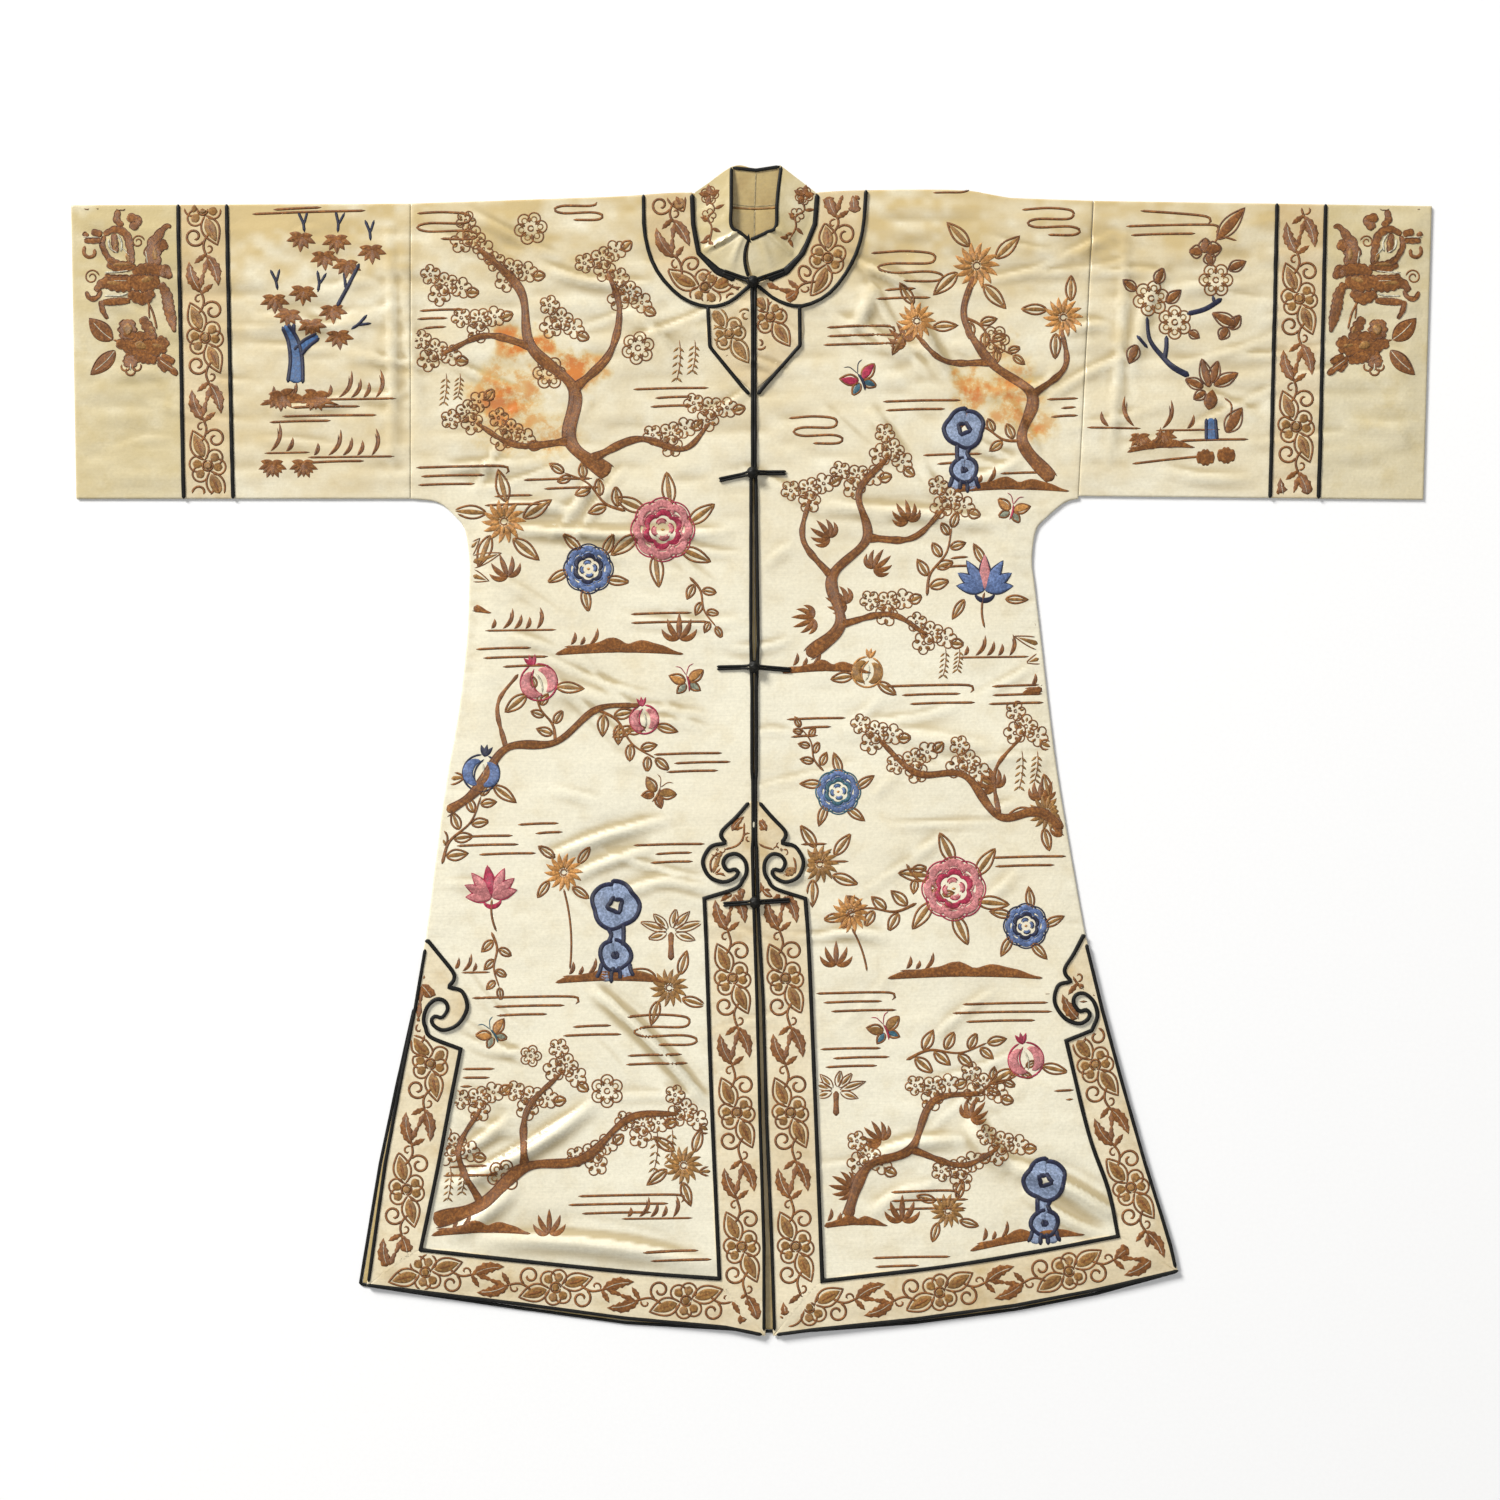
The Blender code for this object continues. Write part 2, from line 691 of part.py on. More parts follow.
def make_fronts():
    """Front panels with their largest folds, one node on each side of the opening."""
    for side in SIDES:
        borders = border_outlines(side)
        applied = [borders["front"], borders["hem"], borders["side"]]
        applied += [neck_band_outline(side), chest_tab_outline(side), *frog_pads()]
        folded_panel("front_" + side, front_edges(side), applied, FRONT_LEVEL, SATIN)


def back_edge(side, heights):
    """The back panel's side edge, which shows past the front one along the slit."""
    show = np.interp(heights, BACK_SLIT_SHOW["height"][::-1], BACK_SLIT_SHOW[side][::-1])
    return np.column_stack([side_x(side, heights) + SIGN[side] * show, heights])


def back_hem(side):
    """The back hem, from the side corner to the centre-back seam, below the front hem."""
    shares = HEM["share"]
    plan = hem_curve(side, shares)
    drop = np.interp(shares, BACK_HEM_SHOW["share"], BACK_HEM_SHOW[side])
    corner = back_edge(side, plan[:1, 1])[0]
    plan[0, 0] = corner[0]
    plan[-1, 0] = BACK_SEAM_X
    return plan - np.column_stack([np.zeros(len(shares)), drop])


def make_backs():
    """Back panels, flat on the surface, and the binding of their slits and hem."""
    for side in SIDES:
        above = SIDE_EDGE["height"][1:]
        slit = above[above < SIDE_HEAD["apex"][side] - 10]
        seam_side = back_edge(side, above[above > SIDE_HEAD["apex"][side] - 10])
        slit_line = back_edge(side, slit[:-1])
        hem_line = back_hem(side)
        bound = np.vstack([slit_line, hem_line])
        middle = inset(np.vstack([bound, seam_side[::-1]]), OPENING_LINE_WIDTH / 2)[: len(bound)]
        kept = inset(np.vstack([bound, seam_side[::-1]]), OPENING_LINE_WIDTH + CLEAR / 2)[: len(bound)]
        kept[-1, 0] = middle[-1, 0] = BACK_SEAM_X
        middle[-1, 0] += SIGN[side] * CLEAR / 2
        shoulder = shoulder_curve(side, SHOULDER["share"])
        neck = np.array(BACK_NECK[side], float)
        if side == "left":
            neck = neck[::-1]
        outline = np.vstack([kept, neck[::-1][:-1], shoulder[::-1], seam_side])
        slab("back_" + side, outline, BACK_LEVEL, CLOTH, SATIN)
        binding("back_binding_" + side, middle, OPENING_LINE_WIDTH - CLEAR, BACK_LEVEL)


def sleeve_corner(side, station, row):
    """A corner of the sleeve: row 0 is the top fold and row 1 the lower seam."""
    reach = SLEEVE_STATIONS[station][side][row]
    line = (SLEEVE_TOP, SLEEVE_LOWER)[row]
    return np.array([SIGN[side] * reach, np.interp(reach, line["reach"], line[side])])


def sleeve_outline(side, start, end):
    """Four corners of the sleeve between two stations."""
    return np.array([
        sleeve_corner(side, start, 1),
        sleeve_corner(side, end, 1),
        sleeve_corner(side, end, 0),
        sleeve_corner(side, start, 0),
    ])


def make_sleeves():
    """Sleeve lengths, scroll bands, cuffs and the bindings over the seams beside the bands."""
    for side in SIDES:
        low_in, low_out, top_out, top_in = sleeve_outline(side, "seam", "inner_line")
        across = np.linspace(0, 1, SLEEVE_COLUMNS)[:, None]
        up = np.linspace(0, 1, SLEEVE_ROWS)[:, None]
        edges = (
            low_in + (low_out - low_in) * across,
            top_in + (top_out - top_in) * across,
            low_in + (top_in - low_in) * up,
            low_out + (top_out - low_out) * up,
        )
        folded_panel(f"sleeve_{side}_front", edges, [], FRONT_LEVEL, SATIN)
        slab(f"sleeve_{side}_back", sleeve_outline(side, "seam", "outer_line"), BACK_LEVEL, CLOTH, SATIN)
        band = sleeve_outline(side, "inner_line", "outer_line")
        slab("sleeve_band_" + side, band, FRONT_LEVEL, CLOTH, BAND_SILK)
        cuff = sleeve_outline(side, "outer_line", "mouth")
        slab(f"cuff_{side}_front", cuff, FRONT_LEVEL, CLOTH, CUFF_SILK)
        slab(f"cuff_{side}_back", cuff, BACK_LEVEL, CLOTH, CUFF_SILK)
        for line in ("inner", "outer"):
            ends = [sleeve_corner(side, line + "_line", row) for row in (1, 0)]
            binding(f"sleeve_binding_{side}_{line}", ends, LINE_WIDTH, STRIP_LEVEL)


def make_borders():
    """Border strips with cloud heads, their inner binding and the bound edges of the fronts."""
    for side in SIDES:
        borders = border_outlines(side)
        for place in ("front", "hem", "side"):
            slab(f"border_{place}_{side}", borders[place], STRIP_LEVEL, STRIP, BAND_SILK)
        binding("border_binding_" + side, trimmed_inner(side, borders["inner"]), LINE_WIDTH)
        make_edge_bindings(side)


def trimmed_inner(side, inner):
    """The border's inner line, started and ended clear of the bound edges that it meets."""
    sign = SIGN[side]
    reach = OPENING_LINE_WIDTH + LINE_WIDTH / 2 + CLEAR
    from_opening = sign * (inner[:, 0] - opening_x(side, inner[:, 1]))
    from_side = sign * (side_x(side, inner[:, 1]) - inner[:, 0])
    near = np.minimum(from_opening, from_side) < reach
    return inner[~near]


def make_edge_bindings(side):
    """Bound edges down the opening, along the hem and down the slit of one front."""
    sign = SIGN[side]
    width = OPENING_LINE_WIDTH
    heights = OPENING_BINDING["height"]
    line = np.column_stack([opening_x(side, heights) + sign * width / 2, heights])
    rise = OPENING_BINDING["lifted"] * (STRIP + CLEAR)
    binding("edge_binding_front_" + side, line, width, STRIP_LEVEL, rise)
    hem = hem_curve(side, HEM["share"])
    hem[:, 1] += width / 2
    hem[-1, 0] += sign * (width + CLEAR)
    corner = hem_curve(side, HEM["share"])[0]
    binding("edge_binding_hem_" + side, hem, width)
    slit_heights = np.array([SIDE_HEAD["apex"][side] - 10.0, -250.0, -320.0, -400.0, -450.0, -480.0])
    slit = np.column_stack([side_x(side, slit_heights), slit_heights])
    last = corner + (slit[-1] - corner) * (width + 4 * CLEAR) / (slit[-1, 1] - corner[1])
    binding("edge_binding_side_" + side, np.vstack([slit, last]) - (sign * width / 2, 0.0), width)


def make_neck():
    """Neck bands, chest tabs and the bindings round them."""
    for side in SIDES:
        sign = SIGN[side]
        slab("neck_band_" + side, neck_band_outline(side), STRIP_LEVEL, STRIP, BAND_SILK)
        slab("chest_tab_" + side, chest_tab_outline(side), STRIP_LEVEL, STRIP, BAND_SILK)
        band_line = smooth_curve(NECK_BAND[side], 3)[:-2]
        binding("neck_band_binding_" + side, band_line, LINE_WIDTH)
        corner, hip, point = (np.array(p, float) for p in CHEST_TAB[side])
        start = corner - (0.0, LINE_WIDTH + 1.0)
        end = point + (hip - point) * 0.1
        binding("chest_tab_binding_" + side, [start, hip, end], LINE_WIDTH)
        heights = np.array([539.0, 525.0, 510.0, 495.0, 482.0, 473.0, 464.5, 459.0, 456.5])
        seam = np.column_stack([neck_x(side, heights), heights])
        seam[-1] += (sign * 2.0, 0.0)
        binding("neck_binding_" + side, seam, NECK_LINE_WIDTH)


def collar_grid(side):
    """Under surface of a collar front: ruled from the foot to the top edge, rising towards it."""
    sections = COLLAR_SECTIONS[side]
    foot = np.column_stack([sections["foot_x"], sections["foot_y"]])
    top = np.column_stack([sections["top_x"], sections["top_y"]])
    share = np.linspace(0, 1, COLLAR_COLUMNS)[None, :, None]
    plan = foot[:, None] * (1 - share) + top[:, None] * share
    bow = COLLAR_FRONT_BOW * np.sin(np.pi * np.linspace(0, 1, COLLAR_COLUMNS))
    plan[-1, :, 0] -= bow
    plan[-2, :, 0] -= bow * 0.5
    level = np.full(len(foot), COLLAR_LEVEL)
    level[0] = COLLAR_FOLD_LEVEL
    rise = sections["rise"][:, None] * np.clip(share[0, :, 0] * 1.15 - 0.15, 0, 1)[None]
    return np.concatenate([plan, (level[:, None] + rise)[..., None]], axis=2)


def make_collar():
    """Stand collar: the back lies on the surface and the two fronts rise over the neck opening."""
    slab("collar_back", COLLAR_BACK_OUTLINE, BACK_LEVEL, CLOTH, LINING)
    for side in SIDES:
        under = collar_grid(side)
        wall("collar_" + side, under, under + (0.0, 0.0, CLOTH), BAND_SILK)
        edge = under[:, -1] + (0.0, 0.0, CLOTH + CLEAR)
        second = under[:, -2] + (0.0, 0.0, CLOTH + CLEAR)
        inwards = second - edge
        inwards /= np.linalg.norm(inwards, axis=1, keepdims=True)
        middle = (edge + inwards * OPENING_LINE_WIDTH / 2)[:-1]
        binding("collar_binding_" + side, middle[:, :2], OPENING_LINE_WIDTH, 0.0, middle[:, 2])
    top_edge = np.array([(-15.0, 564.6), (4.7, 562.6), (24.0, 565.6)])
    binding("collar_binding_back", top_edge, OPENING_LINE_WIDTH, CLOTH + CLEAR)


def strap_rings(start, end, start_level, end_level):
    """Rounded rings of a frog's strap, with a fuller end."""
    angle = np.linspace(0, 2 * np.pi, FROG_SIDES, endpoint=False)
    rings = []
    for share, fullness in ((0.0, 0.7), (0.06, 1.1), (0.2, 0.95), (0.75, 0.85), (1.0, 0.9)):
        centre = start + (end - start) * share
        level = start_level + (end_level - start_level) * share
        across = np.cos(angle) * FROG_WIDTH / 2 * fullness
        height = level + FROG_THICKNESS / 2 * (1 + np.sin(angle))
        rings.append(np.column_stack([np.full(FROG_SIDES, centre[0]), centre[1] + across, height]))
    return rings


def knot_rings(centre, level):
    """Rings of the knotted ball, from the strap's side across to the loop's side."""
    angle = np.linspace(0, 2 * np.pi, FROG_SIDES, endpoint=False)
    rings = []
    for share in (0.86, 0.45, 0.0, -0.45, -0.86):
        radius = np.sqrt(1 - share**2)
        across = np.cos(angle) * KNOT_RADIUS * radius
        height = level + KNOT_HEIGHT / 2 + np.sin(angle) * KNOT_HEIGHT / 2 * radius
        along = np.full(FROG_SIDES, centre[0] + share * KNOT_RADIUS)
        rings.append(np.column_stack([along, centre[1] + across, height]))
    return rings


def make_frogs():
    """Frog closures: a loop half on the left and a knot half on the right of the opening."""
    for row in range(len(FROGS["height"])):
        frog = {name: values[row] for name, values in FROGS.items()}
        number = row + 1
        end_level = frog["end_level"]
        base = frog["knot_level"]
        knot = np.array([frog["knot_x"], frog["height"]])
        loop_end = knot - (KNOT_RADIUS + CLEAR, 0.0)
        loop_start = np.array([frog["left_x"], frog["height"] - frog["left_drop"]])
        loft(f"frog_{number}_loop", strap_rings(loop_start, loop_end, end_level, base), BLACK, 0.55)
        strap_end = knot + (KNOT_RADIUS * 0.95, 0.0)
        strap_start = np.array([frog["right_x"], frog["height"] - frog["right_drop"]])
        rings = strap_rings(strap_start, strap_end, end_level, base) + knot_rings(knot, base)
        loft(f"frog_{number}_knot", rings, BLACK, 0.55)


clear_scene()
make_backs()
make_fronts()
make_sleeves()
make_borders()
make_neck()
make_collar()
make_frogs()
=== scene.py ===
"""Looks of an embroidered silk jacket that lies flat with its front up.

Every plan curve is an array of complex numbers in millimetres: the real part runs across the sleeves
and the imaginary part towards the collar. One height map holds the creases of the laid cloth, and all
pieces on top of the jacket are lifted by it, so that strips, bindings and threads follow its folds.
"""

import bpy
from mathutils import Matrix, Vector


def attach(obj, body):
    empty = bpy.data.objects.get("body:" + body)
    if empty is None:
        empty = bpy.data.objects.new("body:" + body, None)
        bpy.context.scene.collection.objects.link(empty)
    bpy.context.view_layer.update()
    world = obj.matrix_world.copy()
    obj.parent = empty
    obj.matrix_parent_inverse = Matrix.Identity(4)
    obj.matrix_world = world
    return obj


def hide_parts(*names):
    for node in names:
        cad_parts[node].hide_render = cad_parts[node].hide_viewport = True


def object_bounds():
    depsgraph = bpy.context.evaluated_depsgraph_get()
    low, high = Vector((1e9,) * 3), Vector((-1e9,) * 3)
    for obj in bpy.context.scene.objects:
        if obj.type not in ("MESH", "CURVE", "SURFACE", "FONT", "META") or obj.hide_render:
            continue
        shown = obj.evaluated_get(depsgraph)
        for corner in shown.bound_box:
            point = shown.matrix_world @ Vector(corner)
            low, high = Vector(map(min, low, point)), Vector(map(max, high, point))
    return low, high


bl_info = {
    "name": "Embroidered silk jacket",
    "version": (1, 0, 0),
    "blender": (4, 5, 0),
    "location": "View3D > Sidebar > Jacket",
    "description": "Silk panels, scroll bands, black bindings, frogs and embroidery of a jacket laid flat",
    "category": "Object",
}

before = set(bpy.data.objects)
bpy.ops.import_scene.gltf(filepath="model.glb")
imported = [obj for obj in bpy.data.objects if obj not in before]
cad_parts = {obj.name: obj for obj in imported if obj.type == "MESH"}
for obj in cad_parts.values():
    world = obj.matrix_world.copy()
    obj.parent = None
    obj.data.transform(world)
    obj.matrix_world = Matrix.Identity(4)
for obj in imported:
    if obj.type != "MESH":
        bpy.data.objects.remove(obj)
cad_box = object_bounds()

import math

import bpy
import numpy as np
from bpy.props import FloatProperty, FloatVectorProperty, PointerProperty
from mathutils import Vector
from mathutils.geometry import delaunay_2d_cdt

MM = 0.001
SIDES = ("left", "right")
SIGN = {"left": -1, "right": 1}

# Levels of the layers in millimetres, underside and upper side
BACK = (0, 1.1)
FRONT = (1.45, 2.5)
STRIP = (2.85, 3.7)
PIPING_TOP = {"strip": 5.4, "edge": 4.1}

# Creases of the laid cloth: start, end, height of the ridge, spread, bow of its line and steepness
CREASES = (
    (-156, -228, -44, -342, 5.5, 9, 6, 0.45), (-300, -424, -150, -338, 4.5, 12, -8, 0.5),
    (-296, -398, -232, -352, 2.2, 8, -3, 0.6), (-268, -474, -36, -500, 4.6, 15, 10, 0.5),
    (-296, -470, -226, -420, 3, 11, -4, 0.6), (-206, -108, -78, -66, 2.8, 9, 5, 0.5),
    (-184, -128, -92, -94, 2.2, 8, 4, 0.55), (-150, -150, -64, -120, 1.5, 8, 3, 0.6),
    (-264, 219, -18, 213, 4, 9, -5, 0.4), (-258, 236, -170, 232, 1.8, 8, 3, 0.6),
    (-206, 470, -96, 452, 3.2, 9, -6, 0.5), (-128, 436, -70, 372, 1.8, 11, 5, 0.7),
    (-242, 60, -120, 44, 1.6, 12, 5, 0.7), (212, -352, 254, -405, 4.8, 15, -5, 0.5),
    (250, -400, 352, -452, 5.4, 13, 6, 0.45), (262, -424, 340, -470, 2.4, 8, -4, 0.6),
    (106, -398, 208, -378, 3, 11, 8, 0.55), (112, -452, 176, -420, 1.8, 10, 6, 0.7),
    (108, 470, 152, 446, 3.2, 11, 4, 0.6), (152, 448, 204, 346, 3, 14, -7, 0.55),
    (118, 452, 92, 402, 2.2, 13, 5, 0.6), (60, 236, 250, 216, 2.8, 10, 5, 0.6),
    (206, 262, 262, 284, 2, 8, -4, 0.6), (78, 20, 260, -8, 1.8, 13, 7, 0.7),
    (66, -178, 132, -182, 1.8, 8, 4, 0.6), (-352, 520, -350, 262, 1.4, 9, 3, 0.6),
    (-338, 516, -318, 300, 1, 10, -5, 0.7), (362, 516, 344, 268, 1.3, 9, 5, 0.6),
    (404, 478, 366, 350, 1.6, 12, -6, 0.6), (-484, 420, -392, 404, 1.9, 9, 4, 0.6),
    (-470, 330, -380, 346, 1.8, 10, -4, 0.6), (-486, 300, -400, 292, 1.3, 8, 3, 0.6),
    (420, 348, 492, 322, 2, 9, 4, 0.6), (396, 272, 488, 262, 1.8, 9, -3, 0.6),
    (400, 446, 492, 450, 1.6, 9, 3, 0.6), (-640, 356, -566, 366, 1.2, 10, 3, 0.7),
    (572, 316, 640, 306, 1.3, 10, 3, 0.7),
)


# Plan curves

def gone_along(path):
    """Distance gone along a path at each of its points."""
    return np.concatenate([[0], np.cumsum(np.abs(np.diff(path)))])


def way_of(angle):
    """Unit step in the direction of an angle in degrees."""
    return np.exp(1j * math.radians(angle))


def resample(path, step):
    """The same curve with evenly spaced points, the step apart or a little less."""
    length = gone_along(path)
    count = max(2, int(np.ceil(length[-1] / step)) + 1)
    return np.interp(np.linspace(0, length[-1], count), length, path)


def flow(points, per_span=8):
    """Catmull-Rom curve: each span blends four neighbouring points with a cubic in its share."""
    points = np.asarray(points, complex)
    padded = np.concatenate([[2 * points[0] - points[1]], points, [2 * points[-1] - points[-2]]])
    t = np.arange(per_span) / per_span
    a, b, c, d = (padded[k : len(padded) - 3 + k, None] for k in range(4))
    curve = b + 0.5 * t * (c - a + t * (2 * a - 5 * b + 4 * c - d + t * (3 * b - a - 3 * c + d)))
    return np.append(curve.ravel(), points[-1])


def smooth(points, step, sharp=math.radians(42), closed=False):
    """A curve through the points that stays sharp where it turns by more than the given angle."""
    points = np.asarray(points, complex)
    if closed:
        after = np.roll(points, -1) - points
        turn = np.abs(np.angle(after / np.roll(after, 1)))
        points = np.roll(points, -int(turn.argmax()))
        points = np.append(points, points[0])
    run = np.diff(points)
    turn = np.abs(np.angle(run[1:] / run[:-1]))
    corners = [0, *(np.nonzero(turn > sharp)[0] + 1), len(points) - 1]
    parts = [resample(flow(points[a : b + 1]), step) for a, b in zip(corners, corners[1:])]
    curve = np.concatenate([part[:-1] for part in parts] + [parts[-1][-1:]])
    return curve[:-1] if closed else curve


def side_steps(path, closed=False):
    """Unit steps to the left of a curve at each point, longer at a corner so that widths stay even."""
    run = np.roll(path, -1) - path
    if not closed:
        run[-1] = run[-2]
    run = run / np.maximum(np.abs(run), 1e-9)
    before = np.roll(run, 1)
    if not closed:
        before[0] = run[0]
    middle = run + before
    middle = middle / np.maximum(np.abs(middle), 1e-6)
    stretch = np.maximum((middle * run.conj()).real, 0.45)
    return 1j * middle / stretch


def crossings(outline, heights):
    """Which edges of a closed outline each height meets, and where across."""
    start, end = outline[None], np.roll(outline, -1)[None]
    heights = heights[:, None]
    spans = (start.imag > heights) != (end.imag > heights)
    rise = np.where(spans, end.imag - start.imag, 1)
    return spans, start.real + (heights - start.imag) * (end.real - start.real) / rise


def inside(points, outline):
    """Whether each point lies inside a closed outline, by the even-odd rule."""
    spans, crossing = crossings(outline, points.imag)
    return (spans & (points.real[:, None] < crossing)).sum(axis=1) % 2 == 1


def distance(points, starts, ends):
    """Distance of each point to the nearest of the segments, in chunks that fit in memory."""
    run = (ends - starts)[None]
    size = np.maximum(np.abs(run) ** 2, 1e-12)
    found = []
    for chunk in np.array_split(points, max(1, len(points) // 20000)):
        offset = chunk[:, None] - starts[None]
        share = np.clip((offset * run.conj()).real / size, 0, 1)
        found.append(np.abs(offset - share * run).min(axis=1))
    return np.concatenate(found)


def area_of(outline):
    """Area inside a closed outline in square metres."""
    return abs((outline.conj() * np.roll(outline, -1)).imag.sum()) / 2 * MM**2


def upper_outline(node):
    """Outline of a CAD node from above, anticlockwise: the chain of edges where its upper faces end."""
    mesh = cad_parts[node].data
    mesh.calc_loop_triangles()
    points = np.empty(len(mesh.vertices) * 3)
    mesh.vertices.foreach_get("co", points)
    corners = np.empty(len(mesh.loop_triangles) * 3, int)
    mesh.loop_triangles.foreach_get("vertices", corners)
    merged, index = np.unique(np.round(points.reshape(-1, 3) / MM, 2), axis=0, return_inverse=True)
    faces = index.ravel()[corners].reshape(-1, 3)
    a, b, c = (merged[faces[:, k]] for k in range(3))
    normal = np.cross(b - a, c - a)
    faces = faces[normal[:, 2] > 0.3 * np.linalg.norm(normal, axis=1)]
    start = faces.ravel()
    end = np.roll(faces, -1, axis=1).ravel()
    lone = ~np.isin(start * len(merged) + end, end * len(merged) + start)
    follow = dict(zip(start[lone].tolist(), end[lone].tolist()))
    loops = []
    while follow:
        chain = [next(iter(follow))]
        while chain[-1] in follow:
            chain.append(follow.pop(chain[-1]))
        loops.append(merged[chain[:-1], 0] + 1j * merged[chain[:-1], 1])
    return max(loops, key=area_of)


def midline(outline, widest=9):
    """Middle line of a narrow strip. Its ends are the two short edges that turn by a half circle and part the
    outline into like lengths; each point of one side is averaged with the nearest of the other."""
    edge = np.roll(outline, -1) - outline
    turn = np.angle(edge / np.roll(edge, 1))
    around = turn + np.roll(turn, -1)
    ends = np.nonzero((around > math.radians(125)) & (np.abs(edge) < widest))[0]
    length = np.cumsum(np.abs(edge))
    pairs = [(a, b) for a in ends for b in ends if a < b]
    a, b = min(pairs, key=lambda pair: abs(length[-1] / 2 - (length[pair[1]] - length[pair[0]])))
    left = resample(outline[a + 1 : b + 1], 1)
    right = np.roll(outline, -b - 1)[: len(outline) - b + a]
    right = right[::-1]
    offset = left[:, None] - right[None, :-1]
    run = np.diff(right)[None]
    share = np.clip((offset * run.conj()).real / np.maximum(np.abs(run) ** 2, 1e-9), 0, 1)
    nearest = np.abs(offset - share * run).argmin(axis=1)
    rows = np.arange(len(left))
    middle = left - (offset - share * run)[rows, nearest] / 2
    kept = np.concatenate([[True], np.abs(np.diff(middle)) > 0.15])
    return middle[kept]


# Height of the laid cloth

def soft_noise(across, along, seed):
    """Smooth noise from -1 to 1: random values on whole numbers, blended by a cubic between them."""
    values = np.random.default_rng(seed).uniform(-1, 1, (256, 256))
    x0, y0 = np.floor(across).astype(int), np.floor(along).astype(int)
    fx, fy = across - x0, along - y0
    fx, fy = fx * fx * (3 - 2 * fx), fy * fy * (3 - 2 * fy)
    a, b = values[x0 % 256, y0 % 256], values[(x0 + 1) % 256, y0 % 256]
    c, d = values[x0 % 256, (y0 + 1) % 256], values[(x0 + 1) % 256, (y0 + 1) % 256]
    return (a * (1 - fx) + b * fx) * (1 - fy) + (c * (1 - fx) + d * fx) * fy


def fine_creases(count=150):
    """Small creases strewn over the cloth: nearly level on the sleeves, aslant from the underarms over the
    chest and from the hem corners below, each with its own length, height, spread and bow."""
    draw = np.random.default_rng(5).uniform(-1, 1, (count, 8))
    sleeve = np.arange(count) % 5 < 2
    side = np.sign(draw[:, 0])
    x = np.where(sleeve, side * (420 + 195 * draw[:, 1]), draw[:, 0] * 285)
    y = np.where(sleeve, 392 + 118 * draw[:, 2], 20 + 480 * draw[:, 2])
    slope = np.where(y > 200, -side * 38, side * 24)
    turn = np.radians(np.where(sleeve, side * 6 + 22 * draw[:, 3], slope + 26 * draw[:, 3]))
    run = (84 + 46 * draw[:, 4]) * np.exp(1j * turn) / 2
    start, end = x + 1j * y - run, x + 1j * y + run
    height = (1.25 + 0.7 * draw[:, 5]) * np.where(y > 180, 1, 0.75)
    height = height * np.interp(np.abs(x), (330, 400, 530, 560), (1, 0.75, 0.75, 0.4))
    rest = (height, 5.6 + 1.8 * draw[:, 6], 8 * draw[:, 7], 0.55 + 0.2 * draw[:, 3])
    return np.column_stack([start.real, start.imag, end.real, end.imag, *rest])


def crease_height(points):
    """Sum of the creases. Across each one, a ridge with one steep side has a shallow trough beside it;
    along it, the height follows a half sine, so that it fades out at both ends."""
    total = np.zeros(len(points))
    for x0, y0, x1, y1, height, spread, bow, steep in (*CREASES, *fine_creases()):
        start, run = complex(x0, y0), complex(x1 - x0, y1 - y0)
        local = (points - start) / run
        share = np.clip(local.real, 0, 1)
        away = local.imag * abs(run) - bow * 4 * share * (1 - share)
        wide = 0.66 * np.where(away > 0, spread * steep, spread)
        trough = np.exp(-(((away - 2.1 * spread * steep) / (spread * 0.8)) ** 2))
        ridge = np.exp(-((away / wide) ** 2)) - 0.35 * trough
        total += 1.5 * height * ridge * np.sin(np.pi * share) ** 0.8
    return total


UPPER_PANELS = [
    f"{part}_{side}{tail}"
    for side in SIDES
    for part, tail in (("front", ""), ("sleeve", "_front"), ("sleeve_band", ""), ("cuff", "_front"))
]
OUTLINES = {node: upper_outline(node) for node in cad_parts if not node.startswith("frog")}
MAP_STEP = 2
SMOOTHING = 3


def silhouette():
    """Segments of the upper panels' outlines that no other upper panel adjoins."""
    starts, ends = [], []
    for node in UPPER_PANELS:
        outline = OUTLINES[node]
        after = np.roll(outline, -1)
        probe = (outline + after) / 2 - 1.2j * (after - outline) / np.abs(after - outline)
        met = np.zeros(len(outline), bool)
        for other in UPPER_PANELS:
            if other != node:
                met |= inside(probe, OUTLINES[other])
        across_opening = node.startswith("front") & (np.abs(probe) < 700) & (np.abs(probe.real - 5) < 18)
        starts.append(outline[~met & ~across_opening])
        ends.append(after[~met & ~across_opening])
    return np.concatenate(starts), np.concatenate(ends)


